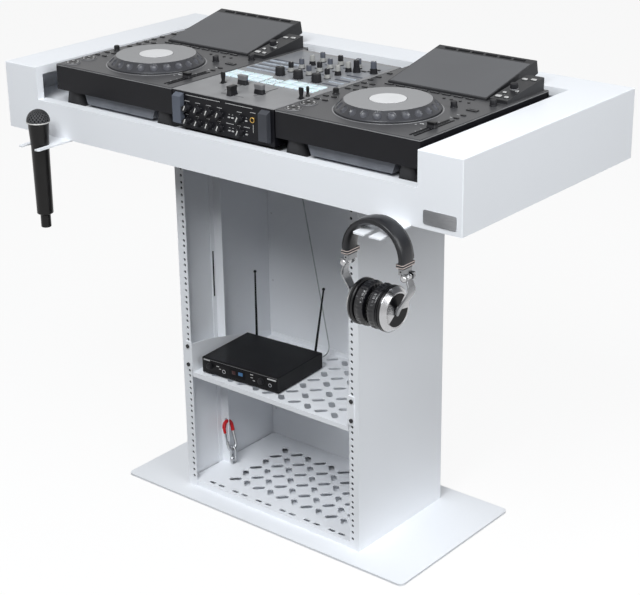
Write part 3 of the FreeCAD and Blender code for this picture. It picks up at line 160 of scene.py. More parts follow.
screwTint, screwPale = (0.03, 0.03, 0.032), (0.7, 0.71, 0.73)
# the deck's flat top, painted lighter than the black case: a painted sheen
deckTopSheen = (0.06, 0.06, 0.063)
powderCoat = finish("powderCoat", (0.835, 0.853, 0.886), 0.42, (3, 0.012), (1400, 0.1), roughVary=0.04)
blackScrew = finish("blackScrew", screwTint, 0.35, (60, 0.2), (2500, 0.1), metallic=0.6,
                    zones=[("Y", 0.14, 1, screwPale), ("Y", 0.1465, 1, screwTint)])
badgeMetal = finish("badgeMetal", (0.34, 0.345, 0.36), 0.38, (40, 0.12), (60, 0.25), metallic=0.85,
                    stretch=(2, 40, 40))
zincWire = finish("zincWire", (0.56, 0.57, 0.58), 0.3, (180, 0.15), (1500, 0.12), metallic=1)
redSleeve = finish("redSleeve", (0.56, 0.012, 0.016), 0.32, (90, 0.12), (1200, 0.08), 0.3)
micBlack = finish("micBlack", (0.007, 0.0065, 0.0065), 0.3, (40, 0.2), (1800, 0.1), 0.27)
micSteel = finish("micSteel", (0.62, 0.61, 0.6), 0.38, (40, 0.1), (1500, 0.1), metallic=0.6)
micWeave = addWeave(finish("micWeave", (0.1, 0.1, 0.1), 0.4, (60, 0.1), (900, 0.06), 0.12, metallic=0.2))
bandLeather = finish("bandLeather", (0.006, 0.0065, 0.009), 0.3, (30, 0.25), (1600, 0.1), 0.42)
addLeather(bandLeather, 700, 0.25)
cushionLeather = finish("cushionLeather", (0.006, 0.006, 0.008), 0.24, (45, 0.25), (1500, 0.1), 0.55)
addLeather(cushionLeather, 800, 0.2)
cupWindow = finish("cupWindow", (0.004, 0.004, 0.005), 0.3, (50, 0.2), (1800, 0.05), 0.14)
cupBlack = finish("cupBlack", (0.006, 0.006, 0.007), 0.24, (50, 0.2), (1800, 0.05), 0.4)
satinSilver = finish("satinSilver", (0.27, 0.275, 0.285), 0.22, (70, 0.1), (900, 0.08), metallic=1)
turnedSilver = finish("turnedSilver", (0.5, 0.5, 0.51), 0.24, (25, 0.1), (500, 0.08), metallic=1)
bronzeLine = finish("bronzeLine", (0.55, 0.44, 0.4), 0.3, (120, 0.15), (1800, 0.06), metallic=0.9)
# the black case: a pale band just under the top edge is a painted highlight, the flat top takes the painted
# sheen, the sloping console is dark again, and below 938 mm the skirt is its own slate grey, painted lighter
# than that as painted light, since it sits in the deck's shadow
deckShell = finish("deckShell", (0.006, 0.006, 0.008), 0.36, (25, 0.12), (2200, 0.08), 0.2,
                   zones=[("Z", 0.9897, 1, (0.22, 0.22, 0.225)), ("Z", 0.9915, 1, deckTopSheen),
                          ("Z", 0.9945, 1, (0.022, 0.022, 0.024)), ("Z", 0.938, -1, (0.2, 0.21, 0.235))])
keyBlack = finish("keyBlack", (0.008, 0.008, 0.009), 0.38, (120, 0.2), (2500, 0.08), 0.3)
keyPale = finish("keyPale", (0.55, 0.55, 0.55), 0.35, (120, 0.1), (2500, 0.06))
keySilver = finish("keySilver", (0.6, 0.6, 0.6), 0.3, (150, 0.08), (1800, 0.06), metallic=0.6)
haloRing = finish("haloRing", (0.2, 0.2, 0.205), 0.35, (60, 0.1), (1500, 0.06))
jogRing = finish("jogRing", (0.02, 0.021, 0.026), 0.34, (40, 0.12), (1500, 0.05), 0.55)
# the finger dishes: a lighter copy of the jog ring's black, painted light where they catch the lamps
litJogDish = finish("litJogDish", (0.05, 0.052, 0.062), 0.4, (40, 0.12), (1500, 0.05))
screenGlass = finish("screenGlass", (0.1, 0.1015, 0.107), 0.36, (6, 0.04), (900, 0.01), 0.15, roughVary=0.02)
screenBezel = finish("screenBezel", (0.026, 0.026, 0.028), 0.4, (30, 0.12), (2200, 0.08), 0.2)
# holeShade is painted shade behind the front rails' holes; slotDark also serves as painted shade in the rear
# rails' slots
holeShade = finish("holeShade", (0.05, 0.052, 0.056), 0.6, (90, 0.1), (1500, 0.05), 0.2)
slotDark = finish("slotDark", (0.004, 0.004, 0.005), 0.6, (90, 0.2), (1500, 0.05), 0.1)
displayPale = finish("displayPale", (0.62, 0.62, 0.625), 0.3, (30, 0.03), (900, 0.02), Coat_Weight=0.3)
faderCap = finish("faderCap", (0.01, 0.01, 0.012), 0.34, (90, 0.15), (1600, 0.08), 0.3)
faderFace = finish("faderFace", (0.15, 0.15, 0.155), 0.3, (90, 0.12), (1600, 0.08))
knobRubber = finish("knobRubber", (0.009, 0.009, 0.011), 0.5, (120, 0.2), (1800, 0.15), 0.25)
knobSlate = finish("knobSlate", (0.07, 0.076, 0.095), 0.4, (120, 0.15), (1800, 0.1), 0.35)
knobWhite = finish("knobWhite", (0.62, 0.62, 0.6), 0.35, (120, 0.06), (1800, 0.06))
knobCream = finish("knobCream", (0.29, 0.29, 0.28), 0.35, (120, 0.08), (1800, 0.06))
footRubber = finish("footRubber", (0.018, 0.018, 0.02), 0.5, (60, 0.2), (1500, 0.15), 0.3)
# the handles are slate; the right handle, past 0.1 m along X, is painted darker as painted shade; the case
# behind the handles is near black and its top rim pale grey
mixerPaint = finish("mixerPaint", (0.1, 0.112, 0.14), 0.34, (22, 0.1), (2200, 0.07), 0.16,
                    zones=[("X", 0.1, 1, (0.05, 0.053, 0.062)), ("Y", -0.2725, 1, (0.007, 0.007, 0.009)),
                           ("Z", 0.9915, 1, (0.225, 0.225, 0.23))])
mixerPrint = finish("mixerPrint", (0.2, 0.208, 0.225), 0.36, (120, 0.12), (1800, 0.06))
stripPale = finish("stripPale", (0.34, 0.38, 0.43), 0.42, (70, 0.08), (1500, 0.06))
padSilicone = finish("padSilicone", (0.74, 0.83, 0.86), 0.42, (70, 0.06), (1500, 0.06), Subsurface_Weight=0.15)
goldRing = finish("goldRing", (0.75, 0.5, 0.16), 0.25, (200, 0.1), (1800, 0.05), metallic=1)
receiverPaint = finish("receiverPaint", (0.005, 0.005, 0.006), 0.42, (20, 0.15), (1900, 0.16), 0.2)
receiverFace = finish("receiverFace", (0.004, 0.004, 0.005), 0.36, (30, 0.15), (1900, 0.1), 0.12)
receiverLcd = finish("receiverLcd", (0.02, 0.09, 0.2), 0.3, (300, 0.4), (900, 0.06),
                     Emission_Color=(0.05, 0.25, 0.6, 1), Emission_Strength=0.1)
receiverRed = finish("receiverRed", (0.03, 0.004, 0.004), 0.3, (300, 0.3), (900, 0.06), 0.3)
antennaRubber = finish("antennaRubber", (0.006, 0.006, 0.007), 0.5, (60, 0.2), (1800, 0.1), 0.3)
leadRubber = finish("leadRubber", (0.42, 0.44, 0.45), 0.5, (80, 0.1), (1800, 0.08))
print("stage: finishes made,", len(bpy.data.materials))

# Surfaces as arrays, in millimetres


def roundRect(halfX, halfY, radius, perCorner=5):
    # outline of a rounded rectangle: four corner arcs, counter-clockwise
    radius = min(radius, halfX * 0.999, halfY * 0.999)
    turn = np.linspace(0, math.pi / 2, perCorner)[None, :] + np.arange(4)[:, None] * math.pi / 2
    signs = np.array([[1, 1], [-1, 1], [-1, -1], [1, -1]], float)
    x = signs[:, :1] * (halfX - radius) + radius * np.cos(turn)
    y = signs[:, 1:] * (halfY - radius) + radius * np.sin(turn)
    return np.stack([x.ravel(), y.ravel()], 1)


def rectStack(levels):
    # rounded rectangles of (half width, half length, corner radius, level), one above another
    return np.array([np.insert(roundRect(*size), 2, level, axis=1) for *size, level in levels])


def closedStack(rings):
    # rings carried one above another, closed by a fan at both ends
    m, n = rings.shape[:2]
    i, j = np.meshgrid(np.arange(m - 1), np.arange(n), indexing="ij")
    k = (j + 1) % n
    quads = np.stack([i * n + j, i * n + k, (i + 1) * n + k, (i + 1) * n + j], -1).reshape(-1, 4)
    verts = np.concatenate([rings.reshape(-1, 3), rings[0].mean(0)[None], rings[-1].mean(0)[None]])
    a = np.arange(n)
    b = (a + 1) % n
    low = np.stack([np.full(n, m * n), b, a], 1)
    high = np.stack([np.full(n, m * n + 1), (m - 1) * n + a, (m - 1) * n + b], 1)
    return verts, quads.tolist() + low.tolist() + high.tolist()


def closedLoop(grid):
    # a grid of points that wraps round in both directions
    m, n = grid.shape[:2]
    i, j = np.meshgrid(np.arange(m), np.arange(n), indexing="ij")
    p, q = (i + 1) % m, (j + 1) % n
    quads = np.stack([i * n + j, i * n + q, p * n + q, p * n + j], -1).reshape(-1, 4)
    return grid.reshape(-1, 3), quads.tolist()


def flipped(shell):
    # the same shell with its faces turned the other way
    return shell[0], [face[::-1] for face in shell[1]]


def spun(profile, sides):
    # a profile of (radius, height) turned about the upright axis: radius times cos and sin of the turn
    turn = np.linspace(0, fullTurn, sides, endpoint=False)
    profile = np.asarray(profile, float)
    return np.stack([profile[:, :1] * np.cos(turn), profile[:, :1] * np.sin(turn),
                     np.repeat(profile[:, 1:], sides, 1)], -1)


def spunShell(profile, sides):
    return closedStack(spun(profile, sides))


def ringShell(profile, sides):
    # a closed profile spun the same way, open in the middle
    return closedLoop(spun(profile, sides)[:, ::-1])


def flutedShell(levels, flutes, depth, sides=48):
    # a knob's grip: each level's radius swells and dips round the turn
    turn = np.linspace(0, fullTurn, sides, endpoint=False)
    grid = spun(levels, sides)
    grid[..., :2] *= (1 + depth * np.cos(turn * flutes))[None, :, None]
    return closedStack(grid)


def keyShell(width, length, height, corner, edge):
    # a keycap: its outline drawn in a little at the top edge
    levels = [(0, 0), (0, height - edge), (edge * 0.3, height - edge * 0.3), (edge, height)]
    return closedStack(rectStack([(width / 2 - d, length / 2 - d, max(corner - d, 0.15), z)
                                  for d, z in levels]))


def sectorShell(inner, outer, start, end, low, high, steps=16, edge=0.25):
    # part of a flat ring: the outer arc one way and the inner arc back, stacked and drawn in at the top edge
    turn = np.radians(np.linspace(start, end, steps))
    squeeze = np.linspace(1, -1, steps)
    rings = []
    for d, z in ((0, low), (0, high - edge), (edge, high)):
        ahead, back = turn + squeeze * d / outer, (turn + squeeze * d / inner)[::-1]
        x = np.concatenate([(outer - d) * np.cos(ahead), (inner + d) * np.cos(back)])
        y = np.concatenate([(outer - d) * np.sin(ahead), (inner + d) * np.sin(back)])
        rings.append(np.column_stack([x, y, np.full(2 * steps, z)]))
    return closedStack(np.array(rings))


def tubeShell(path, radius, plane, sides):
    # a round section carried along a path, its first spoke square to the path and to the plane's normal
    path = np.asarray(path, float)
    along = np.gradient(path, axis=0)
    along /= np.linalg.norm(along, axis=1)[:, None]
    spoke = np.cross(along, np.asarray(plane, float))
    spoke /= np.linalg.norm(spoke, axis=1)[:, None]
    other = np.cross(along, spoke)
    turn = np.linspace(0, fullTurn, sides, endpoint=False)[:, None]
    return closedStack(path[:, None] + radius * (spoke[:, None] * np.cos(turn) + other[:, None] * np.sin(turn)))


def moved(shell, origin=(0, 0, 0), axes=None):
    # shell coordinates taken along three axes and set at an origin
    verts, faces = shell
    if axes is not None:
        axes = np.asarray(axes, float)
        verts = verts @ axes
        if np.linalg.det(axes) < 0:
            faces = flipped(shell)[1]
    return verts + np.asarray(origin, float), faces


def keyAt(place, size, look, axes=None):
    # a keycap of (width, length, height, corner, edge) at its place, with its finish
    return moved(keyShell(*size), place, axes), look


def spunAt(place, profile, sides, look, axes=None):
    # a spun profile at its place, with its finish
    return moved(spunShell(profile, sides), place, axes), look


def makePiece(name, shells, body, replaced=(), sharp=40.0, uv=None, uvTurn=0.0):
    # shells are (shell, finish) pairs, joined into one mesh in metres
    finishes = list(dict.fromkeys(look for shell, look in shells))
    verts, faces, index, start = [], [], [], 0
    for (points, corners), look in shells:
        verts.append(points)
        faces += [[k + start for k in face] for face in corners]
        index += [finishes.index(look)] * len(corners)
        start += len(points)
    mesh = bpy.data.meshes.new(name)
    mesh.from_pydata((np.concatenate(verts) * metre).tolist(), [], faces)
    for look in finishes:
        mesh.materials.append(look)
    mesh.polygons.foreach_set("material_index", index)
    mesh.update()
    mesh.shade_smooth()
    mesh.set_sharp_from_angle(angle=math.radians(sharp))
    if uv is not None:
        addUv(mesh, uv, uvTurn)
    obj = bpy.data.objects.new(name, mesh)
    bpy.context.scene.collection.objects.link(obj)
    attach(obj, body)
    if replaced:
        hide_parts(*replaced)
    return obj


def addUv(mesh, uv, uvTurn):
    # each point's own UV; faces over the seam count one turn on
    loops = np.zeros(len(mesh.loops), int)
    mesh.loops.foreach_get("vertex_index", loops)
    corners = uv[loops]
    first, total = np.zeros((2, len(mesh.polygons)), int)
    mesh.polygons.foreach_get("loop_start", first)
    mesh.polygons.foreach_get("loop_total", total)
    furthest = np.repeat(np.maximum.reduceat(corners.sum(1), first), total)
    corners += uvTurn * (furthest - corners.sum(1) > uvTurn)[:, None]
    mesh.uv_layers.new(name="UVMap").data.foreach_set("uv", corners.ravel())


def paint(look, *names):
    for name in names:
        nodes[name].data.materials.clear()
        nodes[name].data.materials.append(look)


# Solids that keep their own shape

paint(powderCoat, "base_plate", "column_left_side", "column_right_side", "column_back_panel",
      "column_bottom_shelf", "rack_rails", "rear_rails", "rack_shelf", "tray_bottom", "tray_front_panel",
      "tray_left_arm", "tray_right_arm", "tray_back_wall", "tray_floor", "mic_holder", "headphone_hook")
paint(badgeMetal, "badge_plate")
paint(blackScrew, "booth_screws")
paint(zincWire, "snap_hook", "snap_hook_gate", "hook_links")
paint(micBlack, "mic_body")
paint(deckShell, "left_deck_case", "right_deck_case")
paint(screenBezel, "left_screen", "right_screen")
paint(footRubber, "rubber_feet")
paint(mixerPaint, "mixer_case")
paint(receiverPaint, "receiver_case")
paint(antennaRubber, "left_antenna", "right_antenna")

railShade = {"slot": (247.9, -44.0, 495.0), "slotSize": (5.8, 109.6, 0.4, 1.0, 0.1),
             "holes": (235.3, -147.9, 431.0), "holesSize": (19.0, 808.0, 0.4, 1.0, 0.1)}


def railShades():
    # painted shade: a dark floor in each rear rail's slot and a dark strip behind the front rails' holes stand
    # for the shaded narrow space behind
    shells = []
    for side in (-1, 1):
        x, y, z = railShade["slot"]
        inwards = [[0, 1, 0], [0, 0, 1], [-side, 0, 0]]
        shells.append(keyAt((side * x, y, z), railShade["slotSize"], slotDark, inwards))
        x, y, z = railShade["holes"]
        backwards = [[1, 0, 0], [0, 0, 1], [0, 1, 0]]
        shells.append(keyAt((side * x, y, z), railShade["holesSize"], holeShade, backwards))
    makePiece("railSlotShades", shells, "booth")


railShades()
print("stage: solids painted")

# Snap hook's red sleeve

hook = {"top": (-230.0, -37.0, 126.5), "lean": 14.0, "bend": 13.0, "bendSteps": 25, "sleeve": 4.3, "leg": 14.0,
        "gateSleeve": 3.4, "gateLeg": (13.6, 25.0), "gateOff": 0.6, "sides": 16, "sharp": 60}
hookTilt = math.radians(hook["lean"])


def onHook(flat):
    # points (along Y, up) of the hook's own plane, leaned about its top
    leaned = [-flat[:, 1] * math.sin(hookTilt), flat[:, 0], flat[:, 1] * math.cos(hookTilt)]
    return np.column_stack(leaned) + np.array(hook["top"])


def hookSleeve(name, flat, radius, body):
    # a round sleeve along points of the hook's plane
    square = (math.cos(hookTilt), 0, math.sin(hookTilt))
    tube = tubeShell(onHook(flat), radius, square, hook["sides"])
    makePiece(name, [(tube, redSleeve)], body, sharp=hook["sharp"])


def hookSleeves():
    # the upper bend with part of the rear leg, and the upper part of the gate
    bend = hook["bend"]
    turn = np.linspace(0, math.pi, hook["bendSteps"])
    arc = np.column_stack([-bend * np.cos(turn), -bend + bend * np.sin(turn)])
    hookSleeve("hookSleeve", np.vstack([arc, [[bend, -bend - hook["leg"]]]]), hook["sleeve"], "booth")
    gate = np.array([[-bend - hook["gateOff"], -z] for z in hook["gateLeg"]])
    hookSleeve("gateSleeve", gate, hook["gateSleeve"], "hook_gate")


hookSleeves()

# Microphone

mic = {"x": -440.0, "y": -357.0, "radius": 25.0, "domeFoot": 891.0, "domeShare": 0.985, "rows": 36, "sides": 96,
       "weave": 27.0, "ring": ((24.2, 888.0), (25.4, 888.5), (25.4, 890.5), (24.9, 891.0), (20.0, 891.05)),
       "tailRing": ((11.1, 684.4), (12.0, 684.6), (12.2, 685.4), (12.0, 686.2), (11.1, 686.3)), "tailSides": 64}


def micHead():
    # a half ball: radius times cos and sin of the rise angle; the UV runs on both diagonals of the length round
    # and the length up
    turn = np.linspace(0, math.pi / 2 * mic["domeShare"], mic["rows"])
    profile = np.column_stack([mic["radius"] * np.cos(turn), mic["domeFoot"] + mic["radius"] * np.sin(turn)])
    place = (mic["x"], mic["y"], 0)
    dome = spunAt(place, profile, mic["sides"], micWeave)
    ring = spunAt(place, mic["ring"], mic["sides"], micSteel)
    oneTurn = fullTurn * mic["radius"] / mic["weave"]
    around = np.tile(np.arange(mic["sides"]) / mic["sides"], mic["rows"]) * oneTurn
    up = np.repeat(turn, mic["sides"]) * mic["radius"] / mic["weave"]
    uv = np.zeros((len(dome[0][0]) + len(ring[0][0]), 2))
    uv[:len(up)] = np.column_stack([around + up, around - up])
    makePiece("micHead", [dome, ring], "microphone", ["mic_grille"], uv=uv, uvTurn=oneTurn)


def micTailRing():
    # a thin pale ring where the tail leaves the handle
    ring = moved(ringShell(mic["tailRing"], mic["tailSides"]), (mic["x"], mic["y"], 0))
    makePiece("micTailRing", [(ring, micSteel)], "microphone")


micHead()
micTailRing()
print("stage: microphone done")

# Headphones

phones = {"x": 456.0, "y": -356.0, "hookTop": 840.3, "hookHalf": 32.0, "inner": 54.0, "outer": 70.0,
          "width": 38.0, "leg": 10.0, "fold": 20.0, "drop": 70.0, "pin": 68.0, "middle": 62.0, "cupStart": 26.0,
          "cushionFace": 4.0, "grooves": (0.0011, 0.12)}
bandLevel = phones["hookTop"] - math.sqrt(phones["inner"] ** 2 - phones["hookHalf"] ** 2)
bandFoot = bandLevel - phones["leg"]
foldLevel = bandFoot - phones["fold"]
cupLevel = foldLevel - phones["drop"]
addRings(turnedSilver, (phones["y"] * metre, cupLevel * metre), *phones["grooves"], "X")


def bell(x, middle, width):
    # 1 at the middle, falling off on both sides
    return np.exp(-((x - middle) / width) ** 2)


def squarer(wave, power):
    # a sine or cosine with fuller shoulders, its sign kept
    return np.sign(wave) * np.abs(wave) ** power


padForm = {"legSteps": 5, "arcSteps": 97, "round": 44, "fullAcross": 0.4, "fullDeep": 0.55, "innerCrown": 5.0,
           "outerCrown": 1.5, "seam": 0.03, "seamAt": 0.45, "seamWidth": 0.1, "endThin": 0.1, "endReach": 2.5,
           "wrinkle": 0.3, "wrinkleTurns": 46, "wrinkleStart": 1.3, "wrinkleSpread": 0.5, "wrinkleBelow": -0.6,
           "sharp": 70}


def bandPad():
    # a half ring on two short legs: its section is a soft rectangle, crowned inwards, drawn in at the seam and
    # thinned at both ends
    form, count = padForm, padForm["legSteps"]
    leg = np.linspace(phones["leg"], 0, count + 1)[:-1]
    turn = np.concatenate([np.zeros(count), np.linspace(0, math.pi, form["arcSteps"]), np.full(count, math.pi)])
    drop = np.concatenate([leg, np.zeros(form["arcSteps"]), leg[::-1]])
    around = np.linspace(0, fullTurn, form["round"], endpoint=False)
    half = phones["width"] / 2
    across = squarer(np.cos(around), form["fullAcross"]) * half
    depth = squarer(np.sin(around), form["fullDeep"])
    middle = (phones["inner"] + phones["outer"]) / 2
    thick = (phones["outer"] - phones["inner"]) / 2
    crown = np.where(depth < 0, form["innerCrown"], form["outerCrown"]) * (across / half) ** 2
    seam = 1 - form["seam"] * bell(depth, form["seamAt"], form["seamWidth"])
    step = np.arange(len(turn))
    ends = 1 - form["endThin"] * (bell(step, 0, form["endReach"]) + bell(step, step[-1], form["endReach"]))
    wrinkle = form["wrinkle"] * np.sin(turn * form["wrinkleTurns"] + form["wrinkleStart"])
    wrinkle *= bell(turn, math.pi / 2, form["wrinkleSpread"])
    r = middle + (depth * (thick - crown))[None] * ends[:, None]
    r += wrinkle[:, None] * (depth < form["wrinkleBelow"])[None]
    y = (across * seam)[None] * (1 + ends[:, None]) / 2
    return closedStack(np.stack([phones["x"] + r * np.cos(turn)[:, None], phones["y"] + y,
                                 bandLevel + r * np.sin(turn)[:, None] - drop[:, None]], -1))


# each part of the clip: width, overlap past the band, height, corner, edge; level above the foot; finish
clipParts = [((16.0, 0.2, 7.0, 2.5, 0.8), 0.05, satinSilver), ((16.2, 0.4, 2.6, 2.6, 0.3), 2.2, keyBlack),
             ((16.4, 0.5, 1.1, 2.6, 0.3), 0.5, bronzeLine), ((16.4, 0.5, 1.1, 2.6, 0.3), 5.3, bronzeLine)]
piping = {"inset": 3.2, "offset": 18.7, "radius": 0.5, "steps": 80, "sides": 8}


def bandEnd(side):
    # silver clip round the band's foot with a dark band, edged by two thin bronze lines
    x, y = phones["x"] + side * phones["middle"], phones["y"]
    return [keyAt((x, y, bandFoot + level), (wide, phones["width"] + over, *rest), look)
            for (wide, over, *rest), level, look in clipParts]


def bandSeam(side):
    # thin piping along the band's outer edge
    turn = np.linspace(0, math.pi, piping["steps"])
    r = phones["outer"] - piping["inset"]
    y = np.full(piping["steps"], phones["y"] + side * piping["offset"])
    path = np.column_stack([phones["x"] + r * np.cos(turn), y, bandLevel + r * np.sin(turn)])
    return tubeShell(path, piping["radius"], (0, 1, 0), piping["sides"]), cupBlack


band = makePiece("headbandPad", [(bandPad(), bandLeather)], "headphone_band", ["headband"],
                 sharp=padForm["sharp"])
trim = bandEnd(-1) + bandEnd(1) + [bandSeam(-1), bandSeam(1)]
makePiece("headbandTrim", trim, "headphone_band")

cushionForm = {"steps": 240, "round": 48, "middle": 32.0, "outwards": 11.2, "inwards": 9.8, "fullRadial": 0.72,
               "fullAlong": 0.7, "skin": 0.1, "folds": ((0.75, 29, 0.0), (0.5, 43, 1.1)),
               "swell": (0.6, 0.4, 5, 0.7), "groove": 1.4, "grooveAt": -0.2, "grooveWidth": 0.16,
               "grooveFrom": 0.3, "gatherAt": 0.35, "gatherWidth": 0.45, "gatherEdge": 0.4, "foldShare": 0.5,
               "faceGap": 0.05, "sharp": 80}


def cushionGrid(side):
    # a padded ring: section angle by turn angle, fuller outside, with folds where the cover is gathered towards
    # its seam
    form, share = cushionForm, cushionForm["foldShare"]
    turn = np.linspace(0, fullTurn, form["steps"], endpoint=False)
    section = np.linspace(0, fullTurn, form["round"], endpoint=False)
    c, s = np.cos(section), np.sin(section)
    face = phones["cushionFace"]
    half = (phones["cupStart"] - face) / 2
    reach = np.where(c > 0, form["outwards"], form["inwards"])
    radial = form["middle"] + squarer(c, form["fullRadial"]) * reach
    along = face + half - squarer(s, form["fullAlong"]) * (half - form["skin"])
    level, swing, waves, start = form["swell"]
    fold = sum(size * np.sin(turn * count + shift) for size, count, shift in form["folds"])
    fold = fold * (level + swing * np.sin(turn * waves + start))
    groove = bell(s, form["grooveAt"], form["grooveWidth"]) * (c > form["grooveFrom"])
    gather = bell(s, form["gatherAt"], form["gatherWidth"]) * np.clip(c, 0, 1) ** form["gatherEdge"]
    r = (radial - form["groove"] * groove)[None] + fold[:, None] * (gather + share * groove)[None]
    x = np.maximum(along[None] + share * fold[:, None] * np.clip(s, 0, 1)[None], face + form["faceGap"])
    shell = closedLoop(np.stack([phones["x"] + side * x, phones["y"] + r * np.cos(turn)[:, None],
                                 cupLevel + r * np.sin(turn)[:, None]], -1))
    return shell if side < 0 else flipped(shell)


cup = {"sides": 120, "gap": 0.05,
       "body": ((40.5, 0), (42.6, 0.5), (43.9, 1.8), (43.9, 3.4), (42.4, 4.0), (42.4, 4.8), (43.9, 5.4),
                (43.9, 9.2), (43.0, 10.4), (40.0, 11.0)),
       "face": ((41.5, 9.6), (42.8, 10.4), (42.4, 11.2), (35.2, 19.0), (34.6, 19.7), (33.9, 19.8), (33.4, 19.4),
                (12.0, 19.4)),
       "windows": ((7.0, 31.5, 48, 140, 18.8, 19.75, 16), (9.0, 31.5, -142, -8, 18.8, 19.75, 24))}


def cupShells(side):
    # ribbed black shell, a bevelled silver face, and two dark windows above and below its middle, all laid on
    # their side with the axis along the cup's outward direction
    place = (phones["x"] + side * (phones["cupStart"] + cup["gap"]), phones["y"], cupLevel)
    axes = [[0, 1, 0], [0, 0, 1], [side, 0, 0]]
    shells = [spunAt(place, cup["body"], cup["sides"], cupBlack, axes),
              spunAt(place, cup["face"], cup["sides"], turnedSilver, axes)]
    return shells + [(moved(sectorShell(*window), place, axes), cupWindow) for window in cup["windows"]]


# the arm's line: outwards, forwards, above the fold pin, half width
arm = {"line": ((68.0, 0.0, 0, 8.4), (71.5, 0.0, -8, 8.5), (75.2, 0.0, -17, 9.6), (76.2, 0.5, -25, 10.6),
                (71.5, 1.0, -35, 10.4), (64.5, 1.0, -45, 9.4), (56.5, 0.0, -56, 8.0), (50.2, -2.0, -66, 6.4),
                (48.6, -4.0, -73, 4.6), (48.4, -5.5, -78, 2.6)),
       "steps": 72, "smoothing": 8, "thick": 2.3, "corner": 0.99, "flatness": 0.5, "pin": (5.4, 17.0),
       "sharp": 50}


def armShell(side):
    # a flat bar on a smooth line from the fold pin outwards, then inwards over the cup to its middle, narrowing
    # to its tip
    points, thick = np.array(arm["line"]), arm["thick"]
    t = np.linspace(0, len(points) - 1, arm["steps"])
    line = np.column_stack([np.interp(t, np.arange(len(points)), column) for column in points.T])
    for _ in range(arm["smoothing"]):
        line[1:-1] = (line[:-2] + 2 * line[1:-1] + line[2:]) / 4
    along = np.gradient(line[:, [0, 2]], axis=0)
    along /= np.linalg.norm(along, axis=1)[:, None]
    out = np.column_stack([-along[:, 1], along[:, 0]])
    section = roundRect(1.0, thick, arm["corner"])
    flat = squarer(section[:, 1] / thick, arm["flatness"])[None] * thick
    x = line[:, :1] + flat * out[:, :1]
    y = line[:, 1:2] + section[None, :, 0] * line[:, 3:4]
    z = foldLevel + line[:, 2:3] + flat * out[:, 1:]
    shell = closedStack(np.stack([phones["x"] + side * x, phones["y"] + y, z], -1))
    return flipped(shell) if side < 0 else shell


def pinAt(side, radius, length, x, y, z, look, edge=0.6):
    # a short round bar lying along Y with broken edges
    half = length / 2
    profile = [(radius - edge, -half), (radius, edge - half), (radius, half - edge), (radius - edge, half)]
    return spunAt((phones["x"] + side * x, phones["y"] + y, z), profile, 36, look,
                  [[0, 0, 1], [1, 0, 0], [0, 1, 0]])


# levels are above the band's foot
slider = {"block": (12, 28, 13.5, 2.5, 1.2), "blockLevel": -14.0, "band": (12.4, 28.4, 1.6, 2.6, 0.3),
          "bandLevel": -3.35, "tongue": (3, 18, 24.5, 0.4, 0.3), "tongueLevel": -0.35,
          "ear": (12.6, 5.0, 8.0, 0.8, 0.3), "earPin": (7.0, 5.0), "earAt": 11.5,
          "dome": ((6.4, 13.8), (6.3, 14.6), (5.4, 16.0), (3.8, 17.0), (1.6, 17.4)), "domeSides": 36,
          "screw": (1.6, 0.8), "screwAt": 14.26, "screwLevel": -8.2, "screwEdge": 0.2}


def sliderShells(side):
    # block with a dark band and screws, its tongue up into the band, two ears and the pin's end caps
    x, y, pin = phones["x"] + side * phones["middle"], phones["y"], phones["pin"]
    pinX = phones["x"] + side * pin
    shells = [keyAt((x, y, bandFoot + slider[part + "Level"]), slider[part], look)
              for part, look in (("block", satinSilver), ("band", keyBlack), ("tongue", satinSilver))]
    for way in (-1, 1):
        step = way * slider["earAt"]
        shells.append(pinAt(side, *slider["earPin"], pin, step, foldLevel, satinSilver))
        shells.append(keyAt((pinX, y + step, foldLevel), slider["ear"], satinSilver))
        shells.append(spunAt((pinX, y, foldLevel), slider["dome"], slider["domeSides"], turnedSilver,
                             [[0, 0, way], [1, 0, 0], [0, way, 0]]))
        shells.append(pinAt(side, *slider["screw"], phones["middle"], way * slider["screwAt"],
                            bandFoot + slider["screwLevel"], keyBlack, slider["screwEdge"]))
    return shells


for side, name in ((-1, "left"), (1, "right")):
    cushion = makePiece(name + "EarPad", [(cushionGrid(side), cushionLeather)], name + "_cup",
                        [name + "_ear_cushion"], sharp=cushionForm["sharp"])
    makePiece(name + "CupShell", cupShells(side), name + "_cup", [name + "_ear_cup"])
    armPin = pinAt(side, *arm["pin"], phones["pin"], 0, foldLevel, turnedSilver)
    makePiece(name + "CupArm", [(armShell(side), satinSilver), armPin], name + "_cup",
              [name + "_cup_arm"], sharp=arm["sharp"])
    makePiece(name + "BandSlider", sliderShells(side), name + "_slider",
              [name + "_band_slider"])
print("stage: headphones done")

# Players

deck = {"left": -467.0, "right": 147.0, "front": -272.0, "top": 993.0, "jog": (170.0, 131.0), "play": (24, 26),
        "cue": (24, 72), "tempo": (311, 77), "tempoSize": (20, 12, 11)}

# foot and slope are (radius, height above the floor), rim is (radius, height above the top)
jog = {"floor": 993.8, "top": 1013.8, "sides": 440,
       "foot": ((12.3, 0), (60, 0), (102.4, 0), (103, 0.5), (103, 2.6)), "slope": ((102.6, 3.2), (86.0, 18.4)),
       "slopeSteps": 19, "slopeLength": 22.0, "slopeNormal": (14.0, 16.6),
       "rim": ((85.2, -0.9), (84.9, -0.25), (84.0, 0), (78, 0), (60, 0), (36.6, 0), (36.4, -0.3), (36.4, -6.7),
               (24, -6.7), (12.3, -6.7)),
       "flat": (1, 4), "dishes": 22, "dishAt": 11.5, "dishRadius": 8.2, "dishDepth": 3.4, "dishEdge": 0.55,
       "dishLitShare": 0.3, "sharp": 35, "grooves": (0.0009, 0.06),
       "cover": ((35.8, -0.2), (35.9, 0.1), (35.5, 0.5), (20, 0.55), (4, 0.55)), "coverSides": 96,
       "halo": ((104.3, 0), (107.0, 0), (106.8, 0.5), (104.5, 0.5)), "haloSides": 160}


